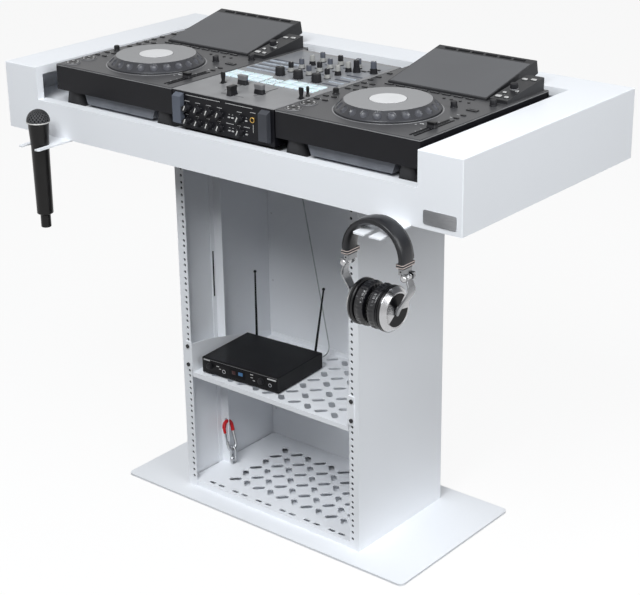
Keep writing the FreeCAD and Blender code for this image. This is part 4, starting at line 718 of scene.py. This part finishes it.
def jogShell(cx, cy):
    # closed section turned about the spindle; on the sloping ring each finger dish is sunk by a round dip; the
    # zones are 0 for the ring, 1 for the flat top and 2 for the dishes, painted lighter as painted light
    slope = np.linspace(0, 1, jog["slopeSteps"])[:, None]
    start, end = np.array(jog["slope"])
    foot = np.array(jog["foot"]) + (0, jog["floor"])
    section = np.concatenate([foot, start + (end - start) * slope + (0, jog["floor"]),
                              np.array(jog["rim"]) + (0, jog["top"])])
    sides = jog["sides"]
    turn = np.linspace(0, fullTurn, sides, endpoint=False)
    grid = spun(section, sides)
    rimStart = len(foot) + len(slope)
    onSlope = slice(len(foot), rimStart)
    run = slope * jog["slopeLength"] - jog["dishAt"]
    step = fullTurn / jog["dishes"]
    off = ((turn + step / 2) % step - step / 2)[None] * section[onSlope, :1]
    inside = np.clip(1 - (run ** 2 + off ** 2) / jog["dishRadius"] ** 2, 0, 1)
    dip = inside ** jog["dishEdge"] * jog["dishDepth"]
    outwards, up = np.array(jog["slopeNormal"]) / math.hypot(*jog["slopeNormal"])
    grid[onSlope] -= np.stack([dip * outwards * np.cos(turn), dip * outwards * np.sin(turn), dip * up], -1)
    zone = np.zeros((len(section), sides), int)
    first, last = jog["flat"]
    zone[rimStart + first:rimStart + last + 1] = 1
    zone[onSlope][dip > jog["dishLitShare"] * jog["dishDepth"]] = 2
    return moved(flipped(closedLoop(grid)), (cx, cy, 0)), zone.ravel()


def jogWheel(name, cx, cy):
    # the wheel with its turned top, the display's cover and the ring on the deck round it
    shell, zone = jogShell(cx, cy)
    obj = makePiece(name + "JogWheel", [(shell, jogRing)], name + "_jog", [name + "_jog_wheel"],
                    sharp=jog["sharp"])
    top = finish(name + "JogTop", (0.25, 0.25, 0.255), 0.42, (20, 0.03), (1800, 0.04), 0.3)
    addRings(top, (cx * metre, cy * metre), *jog["grooves"])
    obj.data.materials.append(top)
    # the dishes take the lighter copy of the ring's black, painted light
    obj.data.materials.append(litJogDish)
    obj.data.polygons.foreach_set("material_index", zone)
    obj.data.update()
    cover = spunAt((cx, cy, jog["top"]), jog["cover"], jog["coverSides"], displayPale)
    halo = moved(ringShell(jog["halo"], jog["haloSides"]), (cx, cy, deck["top"])), haloRing
    makePiece(name + "JogDisplay", [cover, halo], "booth")


# each kind of key: (width, length, height, corner), finish, lift above the deck
keyKinds = {"row": ((20, 6, 1.9, 1.0), keyBlack, 0), "rowFront": ((18.4, 1.4, 0.5, 0.4), faderFace, 1.6),
            "small": ((12, 7, 1.8, 1.6), keyBlack, 0), "smallMark": ((8, 1.0, 0.25, 0.3), keyPale, 0),
            "oval": ((12, 7, 1.8, 3.4), keyBlack, 0), "ovalMark": ((6, 1.2, 0.25, 0.3), keyPale, 0),
            "wide": ((24, 12, 1.8, 1.6), keyBlack, 0), "wideFrame": ((18, 6, 0.4, 1.0), faderFace, 1.6),
            "wideSlot": ((16, 4, 0.3, 0.8), slotDark, 1.8), "track": ((4.6, 124, 0.6, 1.0), slotDark, 0),
            "tick": ((4, 0.8, 0.25, 0.2), keyPale, 0), "lamp": ((4, 2.4, 0.4, 0.8), keySilver, 0),
            "label": ((9, 3, 0.25, 0.6), keyPale, 0)}
keys = {"row": [60 + 28 * k for k in range(8)], "rowAt": 281, "rowFrontAt": 279.2, "left": (14, 35), "edge": 10,
        "leftRows": (108, 136, 205, 233, 258), "markOff": 6.6, "edgeRows": (285, 312, 349), "right": 311,
        "rightRows": (154, 177), "ovalMark": 299, "round": (211, 228, 249, 269), "roundRow": 256.5,
        "wide": (305, 216), "tracks": (305.8, 316.2), "trackAt": 77, "ticks": (40, 58, 96, 114), "tickAt": 300,
        "lamp": (274, 77), "label": (281, 87), "knobs": ((263, 215), (317, 268)), "lever": (20, 160),
        "dotForm": ((3.3, 0), (3.3, 1.0), (2.8, 1.4), (1.0, 1.4)),
        "knobForm": ((7.4, 0), (7.5, 0.6), (7.0, 2.0), (6.6, 2.4), (6.4, 11.0), (5.8, 12.0), (2.0, 12.0)),
        "leverForm": ((7.4, 0), (7.4, 1.2), (6.2, 2.0), (5.8, 3.0), (6.2, 8.0), (5.6, 11.0), (4.0, 12.0),
                      (1.0, 12.0))}


def capEdge(height, most, share):
    # a low key has a finer edge
    return min(most, height * share)


def deckKeys(x):
    # key rows below the screen and down both sides, as the solids place them, with small round keys and pale
    # marks between
    front, top = deck["front"], deck["top"]
    spots = []
    for u in keys["row"]:
        spots += [(u, keys["rowAt"], "row"), (u, keys["rowFrontAt"], "rowFront")]
    for u in keys["left"]:
        for v in keys["leftRows"]:
            spots += [(u, v, "small"), (u, v + keys["markOff"], "smallMark")]
    spots += [(keys["edge"], v, "small") for v in keys["edgeRows"]]
    for v in keys["rightRows"]:
        spots += [(keys["right"], v, "oval"), (keys["ovalMark"], v, "ovalMark")]
    spots += [(*keys["wide"], kind) for kind in ("wide", "wideFrame", "wideSlot")]
    spots += [(u, keys["trackAt"], "track") for u in keys["tracks"]]
    spots += [(keys["tickAt"], v, "tick") for v in keys["ticks"]]
    spots += [(*keys["lamp"], "lamp"), (*keys["label"], "label")]
    shells = []
    for u, v, kind in spots:
        size, look, lift = keyKinds[kind]
        shells.append(keyAt((x + u, front + v, top + lift), (*size, capEdge(size[2], 0.5, 0.4)), look))
    turned = [(u, keys["roundRow"], "dotForm", 20, keyBlack) for u in keys["round"]]
    turned += [(*spot, "knobForm", 36, knobRubber) for spot in keys["knobs"]]
    turned.append((*keys["lever"], "leverForm", 32, keyBlack))
    return shells + [spunAt((x + u, front + v, top), keys[form], sides, look)
                     for u, v, form, sides, look in turned]


pressKey = {"rim": ((16.9, -2.0), (16.9, 1.2), (16.5, 1.7), (15.8, 1.9)), "sides": 64,
            "dish": ((15.9, 0.4), (15.9, 2.0), (15.3, 2.45), (14.6, 2.35), (10, 2.0), (3, 1.9)),
            "markRadii": (10.6, 13.4), "markSweep": 26, "markStep": 60, "markLevels": (1.9, 2.45, 6, 0.1)}


def roundKey(x, y, body, node):
    # play and cue: a dark dished key with short silver marks round its rim
    place = (x, y, deck["top"])
    shells = [spunAt(place, pressKey["rim"], pressKey["sides"], faderFace),
              spunAt(place, pressKey["dish"], pressKey["sides"], keyBlack)]
    for start in range(0, 360, pressKey["markStep"]):
        mark = sectorShell(*pressKey["markRadii"], start, start + pressKey["markSweep"],
                           *pressKey["markLevels"])
        shells.append((moved(mark, place), keySilver))
    makePiece(body + "Key", shells, body, [node])


faderForm = {"corner": 1.6, "split": 0.5, "dish": 1.2, "base": 0.8, "stem": (3.0, 7.2, 0.3, 0.2),
             "stemDrop": 6.0, "line": (1.0, 0.6, 0.2, 0.1), "lineShare": 0.8, "lineDrop": 1.4}


def faderPiece(name, size, place, alongX, body, node, topLook):
    # a fader cap: dark waisted block, lighter upper half dished by a cosine each way, a pale index line and a
    # thin stem
    w, l, h = size
    split = h * faderForm["split"]

    def block(levels):
        return rectStack([(w / 2 - d, l / 2 - d, faderForm["corner"], z) for d, z in levels])
    lower = block([(0, 0), (0.2, 1.0), (1.3, split)])
    upper = block([(1.2, split - 0.3), (1.1, h * 0.7), (0.4, h * 0.9), (0.8, h - 0.4), (1.6, h)])
    rim = upper[-2:]
    rim[..., 2] -= faderForm["dish"] * np.cos(rim[..., 0] / w * math.pi) * np.cos(rim[..., 1] / l * math.pi)
    base = deck["top"] + faderForm["base"]
    thin, *rest = faderForm["stem"]
    stem = (w / 2, thin, *rest) if alongX else (thin, l / 2, *rest)
    thin, *rest = faderForm["line"]
    share = faderForm["lineShare"]
    line = (thin, l * share, *rest) if alongX else (w * share, thin, *rest)
    shells = [(moved(closedStack(lower), (*place, base)), faderCap),
              (moved(closedStack(upper), (*place, base)), topLook),
              keyAt((*place, deck["top"] - faderForm["stemDrop"]), stem, keySilver),
              keyAt((*place, base + h - faderForm["lineDrop"]), line, keyPale)]
    makePiece(name, shells, body, [node])


# the tilted face runs from its foot to its head, both (y, z)
screen = {"foot": (18.0, 997.0), "head": (198.0, 1037.0), "x": 168.0, "glass": (231, 160, 0.7, 2.0, 0.3),
          "glassUp": 83.5, "vent": (27, 5.6, 0.8, 1.0, 0.2), "ventUp": 173.5, "vents": 6, "ventPitch": 33.5,
          "sharp": 15}
console = {"run": 131.0, "rise": 19.0, "start": (316.0, 287.0, 8.0), "knob": 55.0,
           "keys": ((-9, 14, 13, 9), (9, 14, 9, 7), (-8, 34, 8, 6), (11, 48, 8, 7), (-8, 74, 8, 6),
                    (-9, 108, 12, 7), (9, 112, 12, 7)),
           "frame": 2, "frameForm": (0.8, 2.8, 0.3), "keyForm": (2.0, 2.5, 0.6),
           "skirt": ((8.3, 0.4), (8.5, 1.0), (8.5, 2.4), (7.9, 3.0)), "shaft": ((3.0, -5.0), (3.0, 0.5)),
           "grip": ((7.6, 2.6), (7.6, 11.6), (7.0, 12.9), (3.0, 13.2)), "flutes": (24, 0.035, 96)}


def slopeAxes(run, rise):
    # a tilted face's own axes: across, up the slope and out of the face
    up = np.array([0, run, rise]) / math.hypot(run, rise)
    return np.array([[1, 0, 0], up, [0, -up[2], up[1]]])


def screenFront(name, x):
    # glass and vent slots lie on the tilted face, along x and up the slope
    axes = slopeAxes(*np.subtract(screen["head"], screen["foot"]))
    middle = np.array([x + screen["x"], *screen["foot"]])
    shells = [keyAt(middle + axes[1] * screen["glassUp"], screen["glass"], screenGlass, axes)]
    for k in range(screen["vents"]):
        across = (k - (screen["vents"] - 1) / 2) * screen["ventPitch"]
        spot = middle + axes[1] * screen["ventUp"] + (across, 0, 0)
        shells.append(keyAt(spot, screen["vent"], slotDark, axes))
    makePiece(name + "ScreenFace", shells, "booth", sharp=screen["sharp"])


def onConsole(x):
    u, v, w = console["start"]
    return np.array([x + u, deck["front"] + v, deck["top"] + w]), slopeAxes(console["run"], console["rise"])


def consoleKeys(x):
    # small silver keys in dark frames on the sloping console
    start, axes = onConsole(x)
    shells = []
    for u, v, w, l in console["keys"]:
        spot = start + axes[1] * v + (u, 0, 0)
        border = (w + console["frame"], l + console["frame"], *console["frameForm"])
        shells.append(keyAt(spot, border, keyBlack, axes))
        shells.append(keyAt(spot, (w, l, *console["keyForm"]), keySilver, axes))
    return shells


def browseKnob(name, x):
    # a fluted knob with a grey skirt on a silver shaft
    start, axes = onConsole(x)
    place = start + (0, console["knob"], console["rise"] * console["knob"] / console["run"])
    grip = moved(flutedShell(console["grip"], *console["flutes"]), place, axes)
    makePiece(name + "BrowseKnob", [spunAt(place, console["skirt"], 48, faderFace, axes), (grip, knobRubber),
                                    spunAt(place, console["shaft"], 24, keySilver, axes)],
              name + "_browse", [name + "_browse_knob"])


def onDeck(name, spot):
    u, v = deck[spot]
    return deck[name] + u, deck["front"] + v


allKeys = []
for name in ("left", "right"):
    x = deck[name]
    jogWheel(name, *onDeck(name, "jog"))
    allKeys += deckKeys(x) + consoleKeys(x)
    screenFront(name, x)
    browseKnob(name, x)
    for key in ("play", "cue"):
        roundKey(*onDeck(name, key), name + "_" + key, name + "_" + key + "_button")
    faderPiece(name + "TempoCap", deck["tempoSize"], onDeck(name, "tempo"), False, name + "_tempo",
               name + "_tempo_fader", keyBlack)
makePiece("deckKeys", allKeys, "booth", ["deck_buttons"])
print("stage: players done")

# Mixer

mixer = {"x": 10.0, "front": -272.0, "low": 917.0, "top": 993.0, "plateSize": (250, 196, 0.25, 3, 0.1),
         "plateAt": (0, 294), "plateSharp": 15, "crossSize": (12, 23, 19), "cross": (10, -242),
         "channelSize": (23, 12, 19), "leftChannel": (-28, -167), "rightChannel": (48, -203)}


def onTop(x, y, lift=0.0):
    return mixer["x"] + x, mixer["front"] + y, mixer["top"] + lift


knobs = {"x": -27.0, "y": 207.0, "columns": 3, "rows": 4, "pitch": (48.0, 34.75), "size": (21, 7.4),
         "tallSize": (26, 8.3), "tall": ((86.0, 317.0), (121.0, 329.0)), "cream": ((0, 3), (2, 2), (2, 3)),
         "line": (0.5, 0.2, 0.1), "bigCap": ((10.2, 0.2), (9.9, 2.0), (9.3, 16.0), (8.7, 17.6), (4.0, 18.0)),
         "bigFlutes": (18, 0.03, 72), "bigLine": (1.2, 7.0, 0.5, 0.2, 0.1), "bigLineAt": (4.5, 17.7),
         "tickRadii": (11.4, 13.0), "tickSweep": 6, "tickLevels": (0.2, 0.6, 3, 0.05),
         "ticks": range(-60, 241, 30), "lever": (125.0, 112.0), "leverSides": 28,
         "leverForm": ((4.4, 0.2), (4.4, 1.5), (3.2, 3.0), (2.6, 7.0), (3.2, 12.0), (3.4, 18.0), (2.6, 19.6),
                       (1.0, 20.0))}


def knobShells(x, y, height, radius, capLook, skirtLook):
    # a knob: dark foot, pale or dark skirt, fluted cap and a pointer line, in shares of its radius and height
    place = onTop(x, y)
    skirt = [(radius * 0.92, 1.5), (radius * 0.92, 3.0), (radius * 0.82, height * 0.42),
             (radius * 0.7, height * 0.45)]
    cap = [(radius * 0.74, height * 0.4), (radius * 0.72, height * 0.9), (radius * 0.64, height - 0.2),
           (radius * 0.3, height)]
    return [spunAt(place, [(radius, 0), (radius, 1.2), (radius * 0.94, 1.8)], 36, knobRubber),
            spunAt(place, skirt, 36, skirtLook), (moved(flutedShell(cap, 12, 0.04), place), capLook),
            keyAt(onTop(x, y + radius * 0.36, height - 0.25), (1.0, radius * 0.7, *knobs["line"]), knobWhite)]


def bigKnob(x, y):
    # a wide black knob in the front row with a scale round it
    ticks = [sectorShell(*knobs["tickRadii"], start, start + knobs["tickSweep"], *knobs["tickLevels"])
             for start in knobs["ticks"]]
    ahead, lift = knobs["bigLineAt"]
    cap = moved(flutedShell(knobs["bigCap"], *knobs["bigFlutes"]), onTop(x, y))
    line = keyAt(onTop(x, y + ahead, lift), knobs["bigLine"], knobWhite)
    return [(cap, knobRubber), line] + [(moved(tick, onTop(x, y)), slotDark) for tick in ticks]


def mixerTop():
    # columns of knobs, two tall ones and a small lever
    shells = []
    for column in range(knobs["columns"]):
        x = knobs["x"] + knobs["pitch"][0] * column
        shells += bigKnob(x, knobs["y"])
        for row in range(1, knobs["rows"] + 1):
            dark = knobRubber if (row + column) % 2 else knobSlate
            cap, skirt = (knobCream, knobRubber) if (column, row) in knobs["cream"] else (dark, knobCream)
            shells += knobShells(x, knobs["y"] + knobs["pitch"][1] * row, *knobs["size"], cap, skirt)
    for spot, cap in zip(knobs["tall"], (knobRubber, knobSlate)):
        shells += knobShells(*spot, *knobs["tallSize"], cap, knobRubber)
    return shells + [spunAt(onTop(*knobs["lever"]), knobs["leverForm"], knobs["leverSides"], keyBlack)]


toFront = np.array([[1, 0, 0], [0, 0, 1], [0, -1, 0]], float)  # a shell's own axes turned to face the user
panel = {"x": -95.0, "pitch": 175.0 / 6, "columns": (0, 1, 2, 3, 4.8), "rows": (14.0, 41.0), "lean": 25,
         "dial": ((8.0, 0), (7.8, 3.0), (7.0, 4.0)),
         "grip": ((6.8, 3.6), (6.5, 11.0), (5.8, 11.9), (2.0, 12.0)), "flutes": (10, 0.05, 40),
         "pointer": (2.2, 10.5, 0.6, 0.5, 0.1), "pointerOff": (1.8, -11.7, 2.4), "scaleRadii": (9.4, 10.8),
         "scaleSweep": 7, "scaleLevels": (0, 0.2, 3, 0.05), "scale": range(-30, 211, 60), "jack": (80.0, 46.0),
         "jackRing": ((4.0, 0), (6.0, 0), (5.9, 2.4), (5.4, 3.0), (4.3, 2.9)),
         "jackHole": ((4.2, 0), (4.2, 0.8), (3.0, 0.8)), "line": (0.9, 0.2), "markEdge": (0.3, 0.05),
         "rules": ((-52, 68, 92), (44, 68, 70)), "dialRules": ((0, 55.5, 13), (-2, 28, 9)),
         "smallRules": ((19, 28, 20), (63, 28, 16), (80, 60, 14)), "bars": ((80, 32), (80, 24)),
         "barSize": (1.0, 8, 0.2), "switches": (18, 27, 63), "switchSize": (5, 2.4, 1.6), "switchRule": (6, 3)}


def onFront(x, rise):
    return np.array([mixer["x"] + x, mixer["front"], mixer["low"] + rise])


def frontKnob(x, rise):
    # a front knob: a dark fluted dial with a white pointer and a printed scale, its axis towards the user
    place = onFront(x, rise)
    lean = math.radians(panel["lean"])
    tipped = [[math.cos(lean), 0, -math.sin(lean)], [math.sin(lean), 0, math.cos(lean)], [0, -1, 0]]
    grip = moved(flutedShell(panel["grip"], *panel["flutes"]), place, toFront)
    shells = [spunAt(place, panel["dial"], 36, knobRubber, toFront), (grip, knobRubber),
              keyAt(place + panel["pointerOff"], panel["pointer"], knobWhite, tipped)]
    for start in panel["scale"]:
        line = sectorShell(*panel["scaleRadii"], start, start + panel["scaleSweep"], *panel["scaleLevels"])
        shells.append((moved(line, place, toFront), faderFace))
    return shells


def mixerFront():
    # dials, jack, plain printed rules and small switches on the front panel
    shells = []
    places = [panel["x"] + panel["pitch"] * column for column in panel["columns"]]
    for x in places:
        for rise in panel["rows"]:
            shells += frontKnob(x, rise)
    place = onFront(*panel["jack"])
    shells.append((moved(ringShell(panel["jackRing"], 40), place, toFront), goldRing))
    shells.append(spunAt(place, panel["jackHole"], 24, slotDark, toFront))
    marks = [(x, rise, wide, *panel["line"]) for x, rise, wide in panel["rules"]]
    marks += [(x + off, rise, wide, *panel["line"]) for x in places for off, rise, wide in panel["dialRules"]]
    marks += [(x, rise, wide, *panel["line"]) for x, rise, wide in panel["smallRules"]]
    marks += [(*spot, *panel["barSize"]) for spot in panel["bars"]]
    over, short = panel["switchRule"]
    for x in panel["switches"]:
        for rise in panel["rows"]:
            marks += [(x, rise, *panel["switchSize"]), (x, rise + over, short, *panel["line"])]
    return shells + [keyAt(onFront(x, rise), (*size, *panel["markEdge"]), keyPale, toFront)
                     for x, rise, *size in marks]


makePiece("mixerKnobs", mixerTop() + mixerFront(), "booth", ["mixer_knobs"])

# each kind of pad: (width, length, height, corner)
padKinds = {"pad": (23, 23, 2.5, 2.0), "middle": (14, 10, 1.6, 1.2), "strip": (40, 6, 1.8, 1.0),
            "print": (40, 9, 0.45, 0.5), "side": (38, 5, 1.4, 1.0), "small": (7, 4, 1.4, 1.0),
            "corner": (11, 6, 1.6, 1.5)}
pads = {"banks": (-76, 67), "pad": (25.5, 148), "middle": (-13, 17, 141, 14), "strips": (-105, 42.5),
        "strip": (216, 25), "print": 227, "side": (106, 205, 20), "small": (-3, 45), "smallRows": (224, 34.75),
        "corner": ((95, 330), (106, 336), (100, 352), (112, 356))}


def mixerPads():
    # pad banks, small middle pads, and the pale printed strips behind them
    spots = []
    pitch, y = pads["pad"]
    for bank in pads["banks"]:
        for column in range(4):
            spots += [(bank + pitch * (column - 1.5), y + pitch * row, "pad", padSilicone) for row in range(2)]
    x, pitchX, y, pitchY = pads["middle"]
    start, wide = pads["strips"]
    first, rise = pads["strip"]
    for column in range(2):
        spots += [(x + pitchX * column, y + pitchY * row, "middle", padSilicone) for row in range(3)]
        for row in range(4):
            spots.append((start + wide * column, first + rise * row, "strip", stripPale))
            spots.append((start + wide * column, pads["print"] + rise * row, "print", knobSlate))
    x, y, pitch = pads["side"]
    spots += [(x, y + pitch * row, "side", stripPale if row % 2 else knobSlate) for row in range(5)]
    y, pitch = pads["smallRows"]
    for x in pads["small"]:
        spots += [(x, y + pitch * row, "small", knobSlate if row % 2 else keyBlack) for row in range(4)]
    spots += [(*spot, "corner", keyBlack) for spot in pads["corner"]]
    return [keyAt(onTop(x, y), (*padKinds[kind], capEdge(padKinds[kind][2], 0.8, 0.35)), look)
            for x, y, kind, look in spots]


makePiece("mixerPads", mixerPads(), "booth", ["mixer_pads"])
plate = keyAt(onTop(*mixer["plateAt"]), mixer["plateSize"], mixerPrint)
makePiece("mixerPlate", [plate], "booth", sharp=mixer["plateSharp"])
faderPiece("crossfaderCap", mixer["crossSize"], mixer["cross"], True, "crossfader_cap", "crossfader", keyBlack)
for name in ("left", "right"):
    faderPiece(name + "ChannelCap", mixer["channelSize"], mixer[name + "Channel"], False, name + "_channel_cap",
               name + "_channel_fader", faderFace)

# levels are (half width, half length, corner, level)
paddle = {"left": -70, "right": 135, "y": -180,
          "levels": ((5.4, 2.9, 1.0, -7.0), (5.4, 2.9, 1.0, -3.0), (5.0, 2.6, 1.0, 1.0), (3.4, 2.0, 1.0, 5.0),
                     (4.4, 2.2, 1.0, 11.0), (5.4, 2.1, 1.0, 17.5), (5.0, 1.8, 1.0, 21.4),
                     (3.6, 1.0, 1.0, 22.0))}

for name in ("left", "right"):  # a flick lever: hub below the panel, waisted stem and a flattened grip
    lever = moved(closedStack(rectStack(paddle["levels"])), (paddle[name], paddle["y"], mixer["top"]))
    makePiece(name + "PaddleLever", [(lever, keyBlack)], name + "_paddle_lever",
              [name + "_paddle"])
print("stage: mixer done")

# Receiver

# places on the front face are (along it, above its foot); plates are (place, size, finish)
receiver = {"x": -103.0, "y": -48.0, "turn": 4.0, "depth": 165.0, "low": 299.15,
            "plates": (((0, 18.5), (206, 31, 0.5, 3, 0.2), receiverFace),
                       ((-8, 18), (46, 19, 0.9, 1.5, 0.3), slotDark),
                       ((2, 20), (12, 8, 1.2, 0.8, 0.2), receiverLcd),
                       ((-17, 19), (10, 9, 1.2, 0.8, 0.2), receiverRed),
                       # the thin line along the front's top edge is a painted highlight
                       ((0, 33.4), (204, 0.9, 0.7, 0.3, 0.1), faderFace)),
            "dials": ((-85, 7.5), (59, 8.0)), "dialRise": 18.5,
            "jacks": ((-44, 5.0), (84, 4.6)), "jackRise": 15,
            "marks": ((-93, 31.5, 18, 2.4), (-62, 23, 7, 1.6), (-56, 18, 5, 1.4), (33, 27, 8, 1.6),
                      (33, 20, 6, 1.2), (39, 14, 6, 1.2), (88, 28.5, 24, 3.0)),
            "markForm": (0.8, 0.4, 0.1)}
receiverTurn = math.radians(receiver["turn"])
receiverRight = np.array([math.cos(receiverTurn), math.sin(receiverTurn), 0])
receiverBack = np.array([-math.sin(receiverTurn), math.cos(receiverTurn), 0])


def receiverFront():
    # window, display, plain knobs and marks on the turned front face, and a painted highlight along its top
    # edge
    axes = np.array([receiverRight, [0, 0, 1], -receiverBack])
    base = np.array([receiver["x"], receiver["y"], receiver["low"]]) - receiverBack * receiver["depth"] / 2

    def on(u, w):
        return base + receiverRight * u + (0, 0, w)
    shells = [keyAt(on(*spot), size, look, axes) for spot, size, look in receiver["plates"]]
    for u, r in receiver["dials"]:
        dial = [(r, 0.4), (r, 1.5), (r * 0.9, 2.0), (r * 0.84, 6.2), (r * 0.7, 6.9), (1.5, 7.0)]
        shells.append(spunAt(on(u, receiver["dialRise"]), dial, 40, knobRubber, axes))
    for u, r in receiver["jacks"]:
        place = on(u, receiver["jackRise"])
        rim = ringShell([(r * 0.5, 0.4), (r, 0.4), (r, 1.8), (r * 0.6, 2.0)], 30)
        shells.append((moved(rim, place, axes), satinSilver))
        shells.append(spunAt(place, [(r * 0.52, 0.4), (r * 0.52, 0.8), (1, 0.8)], 20, slotDark, axes))
    return shells + [keyAt(on(u, w), (*size, *receiver["markForm"]), keyPale, axes)
                     for u, w, *size in receiver["marks"]]


makePiece("receiverFront", receiverFront(), "booth")

# Receiver lead

lead = {"points": [(-148.6, 98.0, 895.0), (-34.8, 103.0, 339.0), (-29.5, 101.0, 313.0), (-32.0, 80.0, 301.0)],
        "radius": 1.5, "straight": 16.0, "socket": (62.0, 90.5, 308.15), "smooth": 24, "round": 4}


def leadCurve():
    # the route's own points as a smooth third-order curve
    u, v, level = lead["socket"]
    end = np.array([receiver["x"], receiver["y"], level]) + receiverRight * u + receiverBack * v
    points = np.vstack([lead["points"], end + receiverBack * lead["straight"], end]) * metre
    curve = bpy.data.curves.new("receiverLead", "CURVE")
    curve.dimensions = "3D"
    spline = curve.splines.new("NURBS")
    spline.points.add(len(points) - 1)
    spline.points.foreach_set("co", np.column_stack([points, np.ones(len(points))]).ravel())
    spline.order_u = 3
    spline.use_endpoint_u = True
    spline.resolution_u = lead["smooth"]
    curve.bevel_depth = lead["radius"] * metre
    curve.bevel_resolution = lead["round"]
    curve.use_fill_caps = True
    curve.materials.append(leadRubber)
    obj = bpy.data.objects.new("receiverLead", curve)
    bpy.context.scene.collection.objects.link(obj)
    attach(obj, "booth")
    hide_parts("receiver_lead")


leadCurve()
print("stage: receiver done")

# Floor, light and camera

floor = {"half": 12.0, "level": -0.0004, "colour": (0.95, 0.95, 0.95, 1), "glow": 0.9}
light = {"horizon": 0.12, "zenith": 0.36, "sky": (0.97, 0.985, 1.0, 1),
         "tint": (0.957, 0.982, 1.0), "aim": (0, 0, 0.6),
         "boxes": {"frontBox": ((0.9, -2.8, 3.75), 1.9, 162.0), "rightBox": ((3.4, -0.4, 2.6), 2.4, 76.0)}}


def seenRays(tree):
    # 1 for rays that show the backdrop: straight from the camera, mirrored or through glass
    path = addNode(tree, "LightPath", {})
    seen = path["Is Camera Ray"]
    for kind in ("Is Glossy Ray", "Is Transmission Ray"):
        seen = addNode(tree, "Math", {0: seen, 1: path[kind]}, operation="MAXIMUM")["Value"]
    return seen


def floorMaterial():
    # where it is seen the floor is nearly plain white, with some of the object's shadow left in
    mat = bpy.data.materials.new("paleFloor")
    mat.use_nodes = True
    tree = mat.node_tree
    tree.nodes.remove(tree.nodes["Principled BSDF"])
    diffuse = addNode(tree, "BsdfDiffuse", {"Color": floor["colour"]})["BSDF"]
    glow = addNode(tree, "Emission", {"Strength": 1.0})["Emission"]
    share = addNode(tree, "Math", {0: seenRays(tree), 1: floor["glow"]}, operation="MULTIPLY")["Value"]
    both = addNode(tree, "MixShader", {"Fac": share, 1: diffuse, 2: glow})["Shader"]
    connect(tree, tree.nodes["Material Output"], {"Surface": both})
    return mat


def floorPlane():
    half, level = floor["half"], floor["level"]
    mesh = bpy.data.meshes.new("floor")
    corners = [(-half, -half, level), (half, -half, level), (half, half, level), (-half, half, level)]
    mesh.from_pydata(corners, [], [(0, 1, 2, 3)])
    mesh.materials.append(floorMaterial())
    obj = bpy.data.objects.new("floor", mesh)
    bpy.context.scene.collection.objects.link(obj)
    obj.visible_diffuse = False  # the white sweep isn't a lamp: the column's inside stays shaded


def studio():
    # the sky is dim at the horizon and brighter overhead; large soft boxes stand high in front and to the right
    world = bpy.data.worlds.new("studio")
    bpy.context.scene.world = world
    world.use_nodes = True
    tree = world.node_tree
    back = tree.nodes["Background"]
    rise = addNode(tree, "SeparateXYZ", {"Vector": addNode(tree, "TexCoord", {})["Generated"]})["Z"]
    level = addNode(tree, "MapRange",
                    {"Value": rise, "To Min": light["horizon"], "To Max": light["zenith"]})["Result"]
    connect(tree, back, {"Color": light["sky"], "Strength": level})
    white = addNode(tree, "Background", {"Strength": 1.0})["Background"]
    both = addNode(tree, "MixShader",
                   {"Fac": seenRays(tree), 1: back.outputs["Background"], 2: white})["Shader"]
    connect(tree, tree.nodes["World Output"], {"Surface": both})
    for name, (place, size, power) in light["boxes"].items():
        lamp = bpy.data.lights.new(name, "AREA")
        lamp.size = size
        lamp.energy = power
        lamp.color = light["tint"]
        obj = bpy.data.objects.new(name, lamp)
        obj.location = place
        obj.rotation_euler = (Vector(light["aim"]) - Vector(place)).to_track_quat("-Z", "Y").to_euler()
        bpy.context.scene.collection.objects.link(obj)


view = {"azimuth": 39.8254, "elevation": 21.7585, "roll": -0.8903, "distance": 3.5436165, "aim": (0, 0, 0.5),
        "side": 0.0021885, "lift": 0.0025013, "focal": 1619.6935, "centreX": 311.278, "centreY": 289.4385,
        "wide": 640, "high": 595, "sensor": 36.0}


def camera():
    # the photograph's view: turned about the upright, raised, rolled, and shifted to its picture centre
    az, el, roll = (math.radians(view[k]) for k in ("azimuth", "elevation", "roll"))
    back = Vector((math.sin(az) * math.cos(el), -math.cos(az) * math.cos(el), math.sin(el)))
    right = Vector((math.cos(az), math.sin(az), 0))
    up = back.cross(right)
    turnedRight = math.cos(roll) * right + math.sin(roll) * up
    turnedUp = -math.sin(roll) * right + math.cos(roll) * up
    data = bpy.data.cameras.new("camera")
    data.sensor_width = view["sensor"]
    data.sensor_fit = "HORIZONTAL"
    data.lens = view["focal"] * view["sensor"] / view["wide"]
    data.shift_x = (view["wide"] / 2 - view["centreX"]) / view["wide"]
    data.shift_y = (view["centreY"] - view["high"] / 2) / view["wide"]
    obj = bpy.data.objects.new("camera", data)
    place = Vector(view["aim"]) + back * view["distance"] + view["side"] * right + view["lift"] * up
    obj.matrix_world = Matrix.Translation(place) @ Matrix((turnedRight, turnedUp, back)).transposed().to_4x4()
    bpy.context.scene.collection.objects.link(obj)
    bpy.context.scene.camera = obj


floorPlane()
studio()
camera()
bpy.context.scene.view_settings.view_transform = "Standard"
print("stage: floor, light and camera set")
